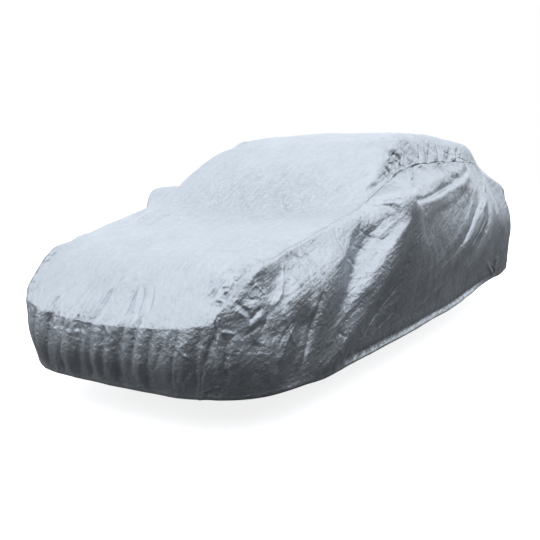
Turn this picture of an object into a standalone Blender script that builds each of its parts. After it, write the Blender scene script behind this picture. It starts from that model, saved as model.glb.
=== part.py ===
"""A fitted cover of silver-coated cloth, as it lies in use.

Three panels are cut and sewn: one long centre panel, from the front hem over bonnet, windscreen, roof
and boot to the rear hem, and one panel for each side. The two shoulder seams join them. The cover is
one open-bottomed shell of thin sheet, pulled out to a blunt point at each mirror.

Lengths are metres. X runs across, Y from nose to tail and Z up. The tables give heights above the
ground; the finished origin is under the roof, where the cloth is carried.
"""

import math

import bpy
import numpy as np
from mathutils import Vector, noise

# Driving sizes
SHEET = 0.002  # thickness of the cloth
SEAM_SETBACK = 0.0003  # how far each panel stops short of the seam line
CELL = 0.078  # spacing of the rows along the cover
DROP_CELLS = 15  # cells from shoulder seam to hem, and up the front and rear skirts
DROP_EASE = 1.25  # over 1, the cells are finer near the seam
HALF_CELLS = 11  # cells from the centre line to a shoulder seam
ROOF_REST_Y = 2.05  # where the cloth is carried: the origin's place along the cover
BLEND_SPAN = 0.45  # length over which the side panels' ends take up the corner seams
EDGE_SHARE = 0.66  # share of the half width between the centre line and the edge line

# Sections over the top, from the front hem to the rear hem. Each names three points of the section:
# the crown on the centre line, the edge where the cloth turns down, and the shoulder seam.
FRONT_ROWS = 2  # rows of this table below the front corner of the side panels
REAR_ROWS = 2  # rows of this table below the rear corner of the side panels
CENTRE = (
    # name, crown y, crown z, edge x, edge y, edge z, seam x, seam y, seam z
    ("front hem", -0.825, 0.200, 0.34, -0.815, 0.200, 0.520, -0.785, 0.203),
    ("front bulge", -0.898, 0.370, 0.37, -0.884, 0.375, 0.580, -0.825, 0.392),
    ("nose lip", -0.882, 0.522, 0.40, -0.858, 0.540, 0.630, -0.790, 0.568),
    ("nose top", -0.766, 0.648, 0.43, -0.742, 0.660, 0.660, -0.690, 0.680),
    ("bonnet front", -0.640, 0.780, 0.46, -0.610, 0.785, 0.680, -0.565, 0.784),
    ("bonnet", -0.380, 0.865, 0.48, -0.375, 0.862, 0.712, -0.385, 0.838),
    ("bonnet back", -0.030, 0.940, 0.50, -0.020, 0.942, 0.735, 0.030, 0.937),
    ("cowl", 0.290, 1.000, 0.57, 0.330, 1.000, 0.742, 0.360, 1.008),
    ("screen foot", 0.600, 1.162, 0.680, 0.640, 1.165, 0.742, 0.625, 1.098),
    ("screen", 0.840, 1.282, 0.645, 0.850, 1.292, 0.730, 0.860, 1.160),
    ("screen top", 1.160, 1.412, 0.608, 1.130, 1.405, 0.716, 1.120, 1.212),
    ("roof front", 1.520, 1.475, 0.572, 1.490, 1.456, 0.702, 1.500, 1.243),
    ("roof", 2.000, 1.482, 0.552, 1.990, 1.452, 0.690, 1.980, 1.252),
    ("roof back", 2.480, 1.456, 0.545, 2.470, 1.427, 0.668, 2.420, 1.248),
    ("roof end", 2.880, 1.418, 0.540, 2.865, 1.400, 0.622, 2.785, 1.240),
    ("rear screen", 3.140, 1.275, 0.540, 3.110, 1.252, 0.645, 3.040, 1.142),
    ("boot front", 3.380, 1.146, 0.575, 3.350, 1.130, 0.700, 3.280, 1.075),
    ("boot edge", 3.640, 1.045, 0.590, 3.610, 1.035, 0.705, 3.530, 0.985),
    ("rear bulge", 3.740, 0.680, 0.520, 3.710, 0.680, 0.700, 3.610, 0.670),
    ("rear hem", 3.690, 0.330, 0.500, 3.670, 0.330, 0.660, 3.590, 0.335),
)

# The two lower lines of a side panel at each of those sections between the corners: the waist, where
# it stands out furthest, and the hem. The corner seams themselves close the panel at both ends.
SIDE = (
    # name, waist x, waist y, waist z, hem x, hem y, hem z
    ("nose top", 0.730, -0.715, 0.430, 0.650, -0.715, 0.203),
    ("bonnet front", 0.812, -0.560, 0.470, 0.765, -0.600, 0.206),
    ("bonnet", 0.856, -0.330, 0.530, 0.832, -0.410, 0.213),
    ("bonnet back", 0.876, -0.020, 0.590, 0.846, -0.110, 0.195),
    ("cowl", 0.884, 0.300, 0.630, 0.844, 0.250, 0.204),
    ("screen foot", 0.886, 0.600, 0.660, 0.842, 0.540, 0.200),
    ("screen", 0.886, 0.860, 0.670, 0.842, 0.820, 0.203),
    ("screen top", 0.886, 1.120, 0.680, 0.842, 1.110, 0.208),
    ("roof front", 0.886, 1.500, 0.690, 0.842, 1.500, 0.216),
    ("roof", 0.884, 1.980, 0.690, 0.836, 1.980, 0.236),
    ("roof back", 0.876, 2.430, 0.690, 0.822, 2.450, 0.266),
    ("roof end", 0.860, 2.800, 0.690, 0.812, 2.830, 0.276),
    ("rear screen", 0.845, 3.080, 0.690, 0.806, 3.110, 0.272),
    ("boot front", 0.822, 3.330, 0.685, 0.796, 3.340, 0.305),
)

# Each mirror pushes the side panel out to a point. From there the cloth runs straight to wherever it
# is held; reach is how far it does so in each direction. Angle 0 points to the tail, 90 up.
MIRROR_Y = 0.618
MIRROR_Z = 1.005
MIRROR_PUSH = 0.195
MIRROR_LIFT = 0.080  # how far it lifts the cloth on its top
MIRROR_HEAD = 0.050  # radius of the blunt point
MIRROR_SHARPNESS = 2.6
MIRROR_SHELF = 0.060  # share of the drop over which the cloth runs out from the seam to the mirror
MIRROR_REACH = (
    # angle in degrees, reach
    (0, 1.75),
    (12, 1.25),
    (40, 0.50),
    (90, 0.27),
    (130, 0.30),
    (170, 0.48),
    (198, 0.56),
    (214, 0.80),
    (225, 1.22),
    (238, 0.98),
    (262, 0.88),
    (300, 0.98),
    (335, 1.30),
    (360, 1.75),
)

# Folds: a smooth arc through three points of the panel, its half width and its height, which is
# negative for a trough. Side folds are placed by y and z, top folds by x and y, skirt folds by x and z.
SIDE_FOLDS = (
    # name, y, z, y, z, y, z, half width, height
    ("mirror to roof, valley", 0.72, 1.010, 1.60, 1.060, 2.50, 1.185, 0.035, -0.040),
    ("mirror to roof, lower ridge", 0.74, 0.975, 1.70, 1.000, 2.56, 1.130, 0.045, 0.030),
    ("mirror to front hem, ridge", 0.56, 0.970, 0.24, 0.560, -0.26, 0.215, 0.060, 0.048),
    ("behind that ridge, hollow", 0.66, 0.860, 0.44, 0.560, 0.04, 0.240, 0.085, -0.026),
    ("mirror to knee, hollow", 0.46, 0.930, 0.18, 0.760, -0.06, 0.500, 0.065, -0.026),
    ("bonnet to knee, ridge", 0.30, 0.960, 0.00, 0.800, -0.25, 0.640, 0.075, 0.028),
    ("knee, crease", -0.26, 0.640, -0.36, 0.460, -0.47, 0.240, 0.034, -0.026),
    ("ahead of the knee, ridge", -0.30, 0.760, -0.48, 0.520, -0.60, 0.230, 0.050, 0.017),
    ("wing, fold", -0.34, 0.790, -0.56, 0.600, -0.66, 0.330, 0.036, -0.018),
    ("corner, fold", -0.62, 0.640, -0.70, 0.480, -0.72, 0.260, 0.034, 0.020),
    ("roof corner to sill, long fold", 2.66, 1.150, 2.30, 0.780, 1.10, 0.480, 0.055, 0.030),
    ("roof corner to sill, long trough", 2.70, 1.130, 2.42, 0.740, 1.35, 0.400, 0.045, -0.026),
    ("roof corner, second fold", 2.78, 1.130, 2.60, 0.760, 2.05, 0.440, 0.048, 0.026),
    ("rear corner, fold", 3.02, 1.080, 2.86, 0.700, 2.84, 0.300, 0.042, 0.028),
    ("rear corner, trough", 3.14, 1.050, 3.02, 0.660, 2.90, 0.300, 0.036, -0.022),
    ("boot corner, fold", 3.30, 1.020, 3.26, 0.700, 3.00, 0.310, 0.044, 0.024),
    ("sill, hollow above the hem", 0.40, 0.330, 1.30, 0.330, 2.30, 0.370, 0.060, -0.020),
)
TOP_FOLDS = (
    # name, x, y, x, y, x, y, half width, height
    ("bonnet to corner, fold", 0.62, -0.16, 0.60, -0.40, 0.62, -0.66, 0.040, -0.012),
    ("bonnet, long crease", -0.06, -0.42, -0.16, -0.62, -0.26, -0.80, 0.040, -0.014),
    ("bonnet, middle crease", 0.14, -0.46, 0.13, -0.62, 0.12, -0.82, 0.040, -0.012),
    ("bonnet, left crease", 0.30, -0.46, 0.28, -0.62, 0.26, -0.82, 0.045, 0.010),
    ("bonnet, right crease", -0.42, -0.44, -0.46, -0.62, -0.50, -0.78, 0.045, 0.012),
    ("cowl, soft fold", -0.40, 0.36, 0.00, 0.30, 0.46, 0.34, 0.070, -0.010),
    ("screen, slanting fold", -0.34, 0.56, -0.06, 0.80, 0.26, 1.14, 0.060, 0.010),
    ("screen, second slanting fold", -0.10, 0.50, 0.22, 0.72, 0.48, 1.02, 0.055, -0.009),
    ("roof, long ripple", -0.36, 1.50, -0.28, 2.10, -0.34, 2.70, 0.090, -0.008),
    ("roof, cross ripple", -0.42, 2.44, 0.02, 2.36, 0.42, 2.46, 0.080, 0.007),
    ("rear screen, fold", -0.30, 3.00, -0.20, 3.20, -0.34, 3.44, 0.060, -0.010),
    ("rear screen, second fold", 0.34, 2.96, 0.24, 3.20, 0.30, 3.46, 0.055, 0.010),
)
FRONT_FOLDS = (
    # name, x, z, x, z, x, z, half width, height
    ("far end", -0.50, 0.54, -0.49, 0.40, -0.46, 0.24, 0.040, 0.016),
    ("far tuck", -0.36, 0.52, -0.36, 0.38, -0.34, 0.23, 0.034, -0.016),
    ("near far tuck", -0.24, 0.53, -0.25, 0.40, -0.23, 0.22, 0.034, 0.014),
    ("second tuck", -0.12, 0.52, -0.13, 0.38, -0.12, 0.22, 0.034, -0.016),
    ("third tuck", 0.01, 0.52, 0.00, 0.38, 0.01, 0.22, 0.034, 0.015),
    ("middle tuck", 0.13, 0.58, 0.12, 0.40, 0.11, 0.22, 0.036, -0.020),
    ("after the middle", 0.23, 0.52, 0.24, 0.38, 0.22, 0.22, 0.038, 0.014),
    ("near tuck", 0.36, 0.52, 0.34, 0.38, 0.32, 0.22, 0.036, -0.012),
    ("near end", 0.49, 0.54, 0.46, 0.40, 0.42, 0.22, 0.038, 0.014),
)
REAR_FOLDS = (
    # name, x, z, x, z, x, z, half width, height
    ("left fold", 0.44, 0.94, 0.42, 0.66, 0.40, 0.36, 0.045, 0.016),
    ("left trough", 0.26, 0.92, 0.28, 0.66, 0.25, 0.36, 0.045, -0.015),
    ("middle fold", 0.05, 0.90, 0.03, 0.66, 0.07, 0.36, 0.050, 0.014),
    ("right trough", -0.18, 0.92, -0.20, 0.66, -0.17, 0.36, 0.045, -0.015),
    ("right fold", -0.40, 0.93, -0.38, 0.66, -0.41, 0.36, 0.045, 0.017),
)

# The centre panel is wider than the roof, so its spare cloth hangs in tucks over the side windows.
WINDOW_TUCKS = (
    # y, half width, depth
    (1.02, 0.045, -0.020),
    (1.14, 0.040, 0.014),
    (1.27, 0.045, -0.026),
    (1.42, 0.045, 0.014),
    (1.60, 0.045, -0.018),
    (1.80, 0.050, 0.012),
    (1.98, 0.045, -0.016),
    (2.20, 0.050, 0.012),
    (2.38, 0.045, -0.014),
    (2.60, 0.040, -0.012),
)
HEM_HOLD = 0.10  # share of the drop over which the elastic hem flattens the folds
HEM_SHARE = 0.35  # share of a fold's height left at the hem
OTHER_SIDE_SHIFT = 0.06  # how far the right side's folds lie behind the left side's
OTHER_SIDE_HEIGHT = 0.85  # their height against the left side's
LOOSE_RIPPLE = 0.0035  # height of the slack ripple all over the cloth
LOOSE_LENGTH = 0.24  # its wavelength

CLOTH_COLOUR = (0.560, 0.600, 0.650, 1.0)
CLOTH_ROUGHNESS = 0.42
CLOTH_METALLIC = 0.45


def clear_scene():
    for obj in list(bpy.data.objects):
        bpy.data.objects.remove(obj)


def smooth_line(knots, points, at):
    """A cubic through the points, which are met at the knots, read at each value of at.

    Its slopes are harmonic means of those on both sides, so it never swings past a point.
    """
    knots = np.asarray(knots, float)
    points = np.asarray(points, float)
    chords = np.diff(points, axis=0) / np.diff(knots)[:, None]
    slopes = np.vstack([chords[:1], chords[1:], chords[-1:]])
    before, after = chords[:-1], chords[1:]
    level = before * after <= 0
    total = np.where(level, 1.0, before + after)
    slopes[1:-1] = np.where(level, 0.0, 2 * before * after / total)
    spans = np.clip(np.searchsorted(knots, at, side="right") - 1, 0, len(knots) - 2)
    width = (knots[spans + 1] - knots[spans])[:, None]
    t = ((at - knots[spans]) / width[:, 0])[:, None]
    start = points[spans] * (2 * t**3 - 3 * t**2 + 1) + slopes[spans] * width * (t**3 - 2 * t**2 + t)
    end = points[spans + 1] * (3 * t**2 - 2 * t**3) + slopes[spans + 1] * width * (t**3 - t**2)
    return start + end


def distances_along(points):
    steps = np.linalg.norm(np.diff(np.asarray(points, float), axis=0), axis=1)
    return np.concatenate([[0.0], np.cumsum(steps)])


def evenly_between(knots, cells_in_span):
    """Values from the first knot to the last, with that many equal cells in each span."""
    values = [knots[0]]
    for low, high, cells in zip(knots[:-1], knots[1:], cells_in_span):
        values.extend(low + (high - low) * (step + 1) / cells for step in range(cells))
    return np.array(values)


def named_lines():
    """The crown, edge and seam lines of the cover's left half, one point for each section."""
    crown = [(0.0, row[1], row[2]) for row in CENTRE]
    edge = [row[3:6] for row in CENTRE]
    seam = [row[6:9] for row in CENTRE]
    return crown, edge, seam


def drop_shares():
    """Where the cells end between a seam, at 0, and a hem, at 1."""
    return np.linspace(0.0, 1.0, DROP_CELLS + 1) ** DROP_EASE


def row_positions():
    """Where the rows lie along the cover, and the index of the first and last row of the side panels."""
    crown, _, seam = named_lines()
    knots = (distances_along(crown) + distances_along(seam)) / 2
    first, last = FRONT_ROWS, len(CENTRE) - 1 - REAR_ROWS
    front = knots[first] - (knots[first] - knots[0]) * drop_shares()[::-1]
    spans = knots[first : last + 1]
    cells = [max(1, round(span / CELL)) for span in np.diff(spans)]
    middle = evenly_between(spans, cells)
    rear = knots[last] + (knots[-1] - knots[last]) * drop_shares()
    rows = np.concatenate([front, middle[1:], rear[1:]])
    return knots, rows, DROP_CELLS, DROP_CELLS + sum(cells)


def centre_grid(knots, rows):
    """Points of the centre panel, row by row, from the right seam to the left seam."""
    crown, edge, seam = (smooth_line(knots, line, rows) for line in named_lines())
    mirror = np.array((-1.0, 1.0, 1.0))
    across = np.linspace(-1.0, 1.0, 2 * HALF_CELLS + 1)
    stops = (-1.0, -EDGE_SHARE, 0.0, EDGE_SHARE, 1.0)
    grid = []
    for middle, shoulder, end in zip(crown, edge, seam):
        section = (end * mirror, shoulder * mirror, middle, shoulder, end)
        grid.append(smooth_line(stops, section, across))
    return np.array(grid)


def side_grid(knots, rows, first, last):
    """Points of the left side panel: a column for each row between the corners, from seam to hem."""
    _, _, seam = named_lines()
    corner_knots = knots[FRONT_ROWS : len(CENTRE) - REAR_ROWS]
    front_waist, front_hem = seam[1], seam[0]
    rear_waist, rear_hem = seam[-2], seam[-1]
    waist = [front_waist] + [row[1:4] for row in SIDE] + [rear_waist]
    hem = [front_hem] + [row[4:7] for row in SIDE] + [rear_hem]
    at = rows[first : last + 1]
    top = smooth_line(knots, seam, at)
    waist = smooth_line(corner_knots, waist, at)
    hem = smooth_line(corner_knots, hem, at)
    down = drop_shares()
    grid = []
    for above, middle, below in zip(top, waist, hem):
        upper = math.dist(above, middle)
        lower = math.dist(middle, below)
        stops = (0.0, upper / (upper + lower), 1.0)
        grid.append(smooth_line(stops, (above, middle, below), down))
    grid = np.array(grid)
    front_seam = smooth_line(knots, seam, rows[: first + 1])[::-1]
    rear_seam = smooth_line(knots, seam, rows[last:])
    front_miss = front_seam - grid[0]
    rear_miss = rear_seam - grid[-1]
    for column, place in enumerate(at):
        near_front = max(0.0, 1.0 - (place - at[0]) / BLEND_SPAN)
        near_rear = max(0.0, 1.0 - (at[-1] - place) / BLEND_SPAN)
        grid[column] += front_miss * near_front**2 + rear_miss * near_rear**2
    return grid


def arc_distance(flat, arc):
    """For points in a plane, the distance to an arc through three points, and how far along it is."""
    start, middle, end = (np.array(arc[i : i + 2]) for i in (0, 2, 4))
    bend = 2 * middle - (start + end) / 2
    steps = np.linspace(0.0, 1.0, 25)[:, None]
    line = start * (1 - steps) ** 2 + 2 * bend * steps * (1 - steps) + end * steps**2
    gaps = np.linalg.norm(flat[:, None, :] - line[None, :, :], axis=2)
    return gaps.min(axis=1), steps[gaps.argmin(axis=1), 0]


def fold_heights(flat, folds, shift=0.0, scale=1.0):
    """The height of all the folds of one table at points in that table's plane."""
    total = np.zeros(len(flat))
    for fold in folds:
        arc = np.array(fold[1:7]) + np.array((shift, 0.0) * 3)
        gap, along = arc_distance(flat, arc)
        fade = np.sin(math.pi * np.clip(along * 0.84 + 0.08, 0.0, 1.0)) ** 0.6
        total += scale * fold[8] * fade * np.exp(-((gap / fold[7]) ** 2))
    return total


def mirror_push(flat, drop):
    """How far the mirror stands the side panel out and up, at points given by y and z.

    drop is each point's place between the seam, at 0, and the hem, at 1.
    """
    across = flat - np.array((MIRROR_Y, MIRROR_Z))
    angle = np.degrees(np.arctan2(across[:, 1], across[:, 0])) % 360
    angles = [row[0] for row in MIRROR_REACH]
    reach = np.interp(angle, angles, [row[1] for row in MIRROR_REACH])
    beyond = np.clip(np.hypot(across[:, 0], across[:, 1]) - MIRROR_HEAD, 0.0, None)
    share = np.clip(1.0 - beyond / reach, 0.0, 1.0)
    shelf = np.clip(drop / MIRROR_SHELF, 0.0, 1.0) * np.clip((1.0 - drop) / 0.1, 0.0, 1.0)
    out = MIRROR_PUSH * share**MIRROR_SHARPNESS * shelf
    up = MIRROR_LIFT * shelf * np.exp(-((beyond / (2 * MIRROR_HEAD)) ** 2))
    return out, up


def window_tucks(points):
    """The spare cloth between the roof's edge and the shoulder seam."""
    total = np.zeros(len(points))
    side = np.abs(points[:, 0])
    band = np.clip((side - 0.55) / 0.05, 0.0, 1.0) * np.clip((points[:, 2] - 1.12) / 0.08, 0.0, 1.0)
    for place, width, depth in WINDOW_TUCKS:
        shift = np.where(points[:, 0] < 0, OTHER_SIDE_SHIFT, 0.0)
        total += depth * np.exp(-(((points[:, 1] - place - shift) / width) ** 2))
    return total * band


def ripple(points):
    """The slack unevenness of the whole cloth."""
    return np.array([noise.noise(Vector(point) / LOOSE_LENGTH) for point in points]) * LOOSE_RIPPLE * 2


def joined_shell():
    """The cover as one sheet: its points, and for each panel a grid of indices into them."""
    knots, rows, first, last = row_positions()
    centre = centre_grid(knots, rows)
    left = side_grid(knots, rows, first, last)
    points = list(centre.reshape(-1, 3))
    count, width = centre.shape[:2]
    centre_index = np.arange(count * width).reshape(count, width)
    panels = {"centre_panel": centre_index}
    for name, seam_column, mirror in (("left_side_panel", -1, 1.0), ("right_side_panel", 0, -1.0)):
        index = np.zeros(left.shape[:2], int)
        index[:, 0] = centre_index[first : last + 1, seam_column]
        index[0, :] = centre_index[: first + 1, seam_column][::-1]
        index[-1, :] = centre_index[last:, seam_column]
        for column in range(1, left.shape[0] - 1):
            for drop in range(1, left.shape[1]):
                index[column, drop] = len(points)
                points.append(left[column, drop] * np.array((mirror, 1.0, 1.0)))
        panels[name] = index if mirror > 0 else index[:, ::-1]
    return np.array(points), panels, first, last


def faces_of(index):
    """Four-sided faces over a grid of indices, facing outward."""
    faces = []
    for row in range(index.shape[0] - 1):
        for column in range(index.shape[1] - 1):
            faces.append(
                (
                    index[row, column],
                    index[row, column + 1],
                    index[row + 1, column + 1],
                    index[row + 1, column],
                )
            )
    return faces


def point_normals(points, panels):
    """Unit normals of the joined sheet, shared by the panels along their seams."""
    normals = np.zeros_like(points)
    for index in panels.values():
        for a, b, c, d in faces_of(index):
            turn = np.cross(points[c] - points[a], points[d] - points[b])
            turn /= np.linalg.norm(turn)
            for corner in (a, b, c, d):
                normals[corner] += turn
    return normals / np.linalg.norm(normals, axis=1)[:, None]


def triangles_of(points, normals, index):
    """The same faces, each split along the diagonal that bends least, so that edges follow the folds."""
    triangles = []
    for a, b, c, d in faces_of(index):
        bend_ac = abs(np.dot(points[c] - points[a], normals[c] - normals[a]))
        bend_bd = abs(np.dot(points[d] - points[b], normals[d] - normals[b]))
        if bend_ac < bend_bd:
            triangles += [(a, b, c), (a, c, d)]
        else:
            triangles += [(a, b, d), (b, c, d)]
    return triangles


def lift_folds(points, panels, first, last):
    """Moves the smooth sheet out and in along its normals by its folds."""
    normals = point_normals(points, panels)
    height = ripple(points)
    centre = panels["centre_panel"]
    top = np.unique(centre[first : last + 1])
    height[top] += fold_heights(points[top][:, (0, 1)], TOP_FOLDS) + window_tucks(points[top])
    for skirt, folds in ((centre[first::-1], FRONT_FOLDS), (centre[last:], REAR_FOLDS)):
        hold = np.repeat(np.clip((1.0 - drop_shares()) / HEM_HOLD, HEM_SHARE, 1.0), centre.shape[1])
        flat = points[skirt.ravel()][:, (0, 2)]
        height[skirt.ravel()] += fold_heights(flat, folds) * hold
    out = np.zeros_like(points)
    for name, shift, scale, way in (
        ("left_side_panel", 0.0, 1.0, 1.0),
        ("right_side_panel", OTHER_SIDE_SHIFT, OTHER_SIDE_HEIGHT, -1.0),
    ):
        index = panels[name] if way > 0 else panels[name][:, ::-1]
        side = index[:, 1:].ravel()
        drop = np.tile(drop_shares()[1:], len(index))
        flat = points[side][:, (1, 2)]
        hold = np.clip((np.abs(points[side][:, 0]) - 0.60) / 0.08, 0.0, 1.0)
        hold *= np.clip((1.0 - drop) / HEM_HOLD, HEM_SHARE, 1.0)
        height[side] += fold_heights(flat, SIDE_FOLDS, shift, scale) * hold
        push, lift = mirror_push(flat, drop)
        out[side, 0] = way * push
        out[side, 2] = lift
    return points + normals * height[:, None] + out


def stop_short(points, index, name):
    """A copy of the points with this panel's seam edges drawn back from the seam line."""
    moved = points.copy()
    edges = []
    if name == "centre_panel":
        edges = [(index[:, 0], index[:, 1]), (index[:, -1], index[:, -2])]
    else:
        seam, inner = (0, 1) if name.startswith("left") else (-1, -2)
        edges = [(index[1:-1, seam], index[1:-1, inner])]
        for end, beside in ((0, 1), (-1, -2)):
            within = index[beside].copy()
            within[seam] = index[beside, inner]
            edges.append((index[end], within))
    for edge, inner in edges:
        step = points[inner] - points[edge]
        moved[edge] += step / np.linalg.norm(step, axis=1)[:, None] * SEAM_SETBACK
    return moved


def cloth_material(name):
    material = bpy.data.materials.new(name)
    material.use_nodes = True
    surface = material.node_tree.nodes["Principled BSDF"]
    surface.inputs["Base Color"].default_value = CLOTH_COLOUR
    surface.inputs["Roughness"].default_value = CLOTH_ROUGHNESS
    surface.inputs["Metallic"].default_value = CLOTH_METALLIC
    return material


def panel_object(name, points, normals, index):
    """One panel as a closed sheet: its outer skin, its inner skin and the rim between them."""
    used = np.unique(index)
    place = {int(point): number for number, point in enumerate(used)}
    outer = points[used]
    inner = outer - normals[used] * SHEET
    count = len(used)
    faces = []
    for triangle in triangles_of(points, normals, index):
        skin = [place[int(point)] for point in triangle]
        faces.append(skin)
        faces.append([point + count for point in reversed(skin)])
    border = list(index[0, :-1]) + list(index[:-1, -1]) + list(index[-1, :0:-1]) + list(index[:0:-1, 0])
    ring = [place[int(point)] for point in border]
    for here, after in zip(ring, ring[1:] + ring[:1]):
        faces.append([after, here, here + count, after + count])
    mesh = bpy.data.meshes.new(name)
    mesh.from_pydata(np.vstack([outer, inner]).tolist(), [], faces)
    mesh.shade_smooth()
    mesh.materials.append(cloth_material(name))
    obj = bpy.data.objects.new(name, mesh)
    bpy.context.scene.collection.objects.link(obj)
    return obj


def roof_underside(points, centre):
    """The lowest face of the cloth over the roof's middle, at ROOF_REST_Y."""
    line = points[centre[:, HALF_CELLS]]
    roof = line[line[:, 2] > 1.3]
    return float(np.interp(ROOF_REST_Y, roof[:, 1], roof[:, 2])) - SHEET


def main():
    clear_scene()
    points, panels, first, last = joined_shell()
    points = lift_folds(points, panels, first, last)
    points -= np.array((0.0, ROOF_REST_Y, roof_underside(points, panels["centre_panel"])))
    normals = point_normals(points, panels)
    for name, index in panels.items():
        panel_object(name, stop_short(points, index, name), normals, index)


main()
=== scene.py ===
# %% [markdown]
# # A fitted cover of silver-coated cloth
#
# The cover is one big shell of thin cloth, sewn from three panels. It lies over a hidden body, so its
# shape is that body's shape plus everything loose cloth does: long folds where it is pulled, tucks where
# it is gathered, and fine crinkles everywhere, because the coating makes the cloth stiff and papery.
# This lesson starts from the plain solids of the three panels, and dresses each one as a thin sheet.

import math

import bmesh
import bpy
import numpy as np
from mathutils import Matrix, Vector


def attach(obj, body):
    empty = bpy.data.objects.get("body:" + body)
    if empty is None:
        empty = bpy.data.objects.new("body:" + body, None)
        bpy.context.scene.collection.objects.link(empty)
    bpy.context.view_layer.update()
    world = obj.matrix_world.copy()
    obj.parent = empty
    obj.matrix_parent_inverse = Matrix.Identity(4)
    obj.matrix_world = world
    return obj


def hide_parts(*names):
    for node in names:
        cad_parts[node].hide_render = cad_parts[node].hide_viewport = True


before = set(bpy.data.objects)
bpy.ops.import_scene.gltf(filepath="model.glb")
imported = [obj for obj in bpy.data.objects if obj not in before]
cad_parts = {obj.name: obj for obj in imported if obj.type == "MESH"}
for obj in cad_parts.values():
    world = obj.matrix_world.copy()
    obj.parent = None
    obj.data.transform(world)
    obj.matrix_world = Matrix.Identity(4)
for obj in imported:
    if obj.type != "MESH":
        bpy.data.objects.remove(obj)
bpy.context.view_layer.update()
print("panels:", sorted(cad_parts))

# %% [markdown]
# The origin of the frame is under the roof. Heights above the ground, and distances back from a line
# near the nose, are easier to think in, so every table below uses those, and `DATUM` carries them over.
# The ground is where the floor goes.

# %% Where the tables measure from
DATUM = Vector((0.0, 2.05, 1.4768))
GROUND_Z = -DATUM.z

# %% [markdown]
# The camera comes first, because every choice after it is judged through it. It stands to the front
# left, a little lower than the roof, with a slightly long lens, and looks slightly down.

# %% The camera
CAMERA_PLACE = Vector((2.526, -3.276, 1.27)) - DATUM
CAMERA_YAW = math.radians(32.902)
CAMERA_DOWN = math.radians(8.424)
CAMERA_ROLL = math.radians(-0.735)
CAMERA_LENS_MM = 48.3


def make_camera():
    ahead = Vector((
        -math.sin(CAMERA_YAW) * math.cos(CAMERA_DOWN),
        math.cos(CAMERA_YAW) * math.cos(CAMERA_DOWN),
        -math.sin(CAMERA_DOWN),
    ))
    level = Vector((math.cos(CAMERA_YAW), math.sin(CAMERA_YAW), 0.0))
    above = level.cross(ahead)
    right = level * math.cos(CAMERA_ROLL) + above * math.sin(CAMERA_ROLL)
    up = above * math.cos(CAMERA_ROLL) - level * math.sin(CAMERA_ROLL)
    camera_data = bpy.data.cameras.new("camera")
    camera_data.lens = CAMERA_LENS_MM
    camera = bpy.data.objects.new("camera", camera_data)
    bpy.context.scene.collection.objects.link(camera)
    turn = Matrix((right, up, -ahead)).transposed()
    camera.matrix_world = Matrix.Translation(CAMERA_PLACE) @ turn.to_4x4()
    bpy.context.scene.camera = camera
    return camera


camera = make_camera()
print("camera at", tuple(round(value, 3) for value in camera.location))

# %% [markdown]
# A silver object shows mostly what it mirrors, so its studio is a dome: bright above, dark below, with a
# soft border a little over the horizon. Then whatever leans back even slightly turns pale, and upright
# cloth stays dark, as on the real cover. The dome's bright part comes lower at the back and on the right,
# so the two sides of an upright pleat differ, and the ground glows a little, so cloth that is tucked under
# isn't black. Straight overhead it is a little dimmer, which gives the flat top some shape, and so does
# one large soft light up there. The camera itself sees plain white behind a pale floor.

# %% The studio
FLOOR_HALF = 30.0
FLOOR_COLOUR = (0.80, 0.80, 0.80, 1.0)
FLOOR_GLOW = 0.80
SKY_COLOUR = (0.93, 0.965, 1.0, 1.0)
SKY_DARK = 0.068
SKY_BRIGHT = 1.37
# each pair is where a soft step starts and ends, measured on a direction of length 1
HORIZON = (0.14, 0.41)
DUSK = (-0.60, 0.30)
DUSK_GLOW = 0.16
SIDE_EDGE = (0.45, -0.95)
SIDE_GLOW = 0.065
ZENITH = (0.42, 1.10)
ZENITH_LOSS = -0.31
BACK_SHARE = 0.16
SIDE_SHARE = -0.21
BACKDROP_WHITE = 1.0
OVERHEAD_SIZE = 9.0
OVERHEAD_HEIGHT = 6.5
OVERHEAD_POWER = 70.0
OVERHEAD_Y = -0.6


def make_floor():
    bm = bmesh.new()
    bmesh.ops.create_grid(bm, x_segments=1, y_segments=1, size=FLOOR_HALF)
    bmesh.ops.translate(bm, verts=bm.verts, vec=(0.0, 0.0, GROUND_Z))
    mesh = bpy.data.meshes.new("floor")
    bm.to_mesh(mesh)
    bm.free()
    paint = bpy.data.materials.new("pale floor")
    paint.use_nodes = True
    surface = paint.node_tree.nodes["Principled BSDF"]
    surface.inputs["Base Color"].default_value = FLOOR_COLOUR
    surface.inputs["Roughness"].default_value = 0.9
    surface.inputs["Specular IOR Level"].default_value = 0.0
    surface.inputs["Emission Color"].default_value = (1.0, 1.0, 1.0, 1.0)
    surface.inputs["Emission Strength"].default_value = FLOOR_GLOW
    mesh.materials.append(paint)
    floor = bpy.data.objects.new("floor", mesh)
    bpy.context.scene.collection.objects.link(floor)
    floor.visible_diffuse = False
    floor.visible_glossy = False
    return floor


def soft_light(name, place, size, power):
    data = bpy.data.lights.new(name, "AREA")
    data.shape = "SQUARE"
    data.size = size
    data.energy = power
    lamp = bpy.data.objects.new(name, data)
    bpy.context.scene.collection.objects.link(lamp)
    lamp.location = place
    return lamp


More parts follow.
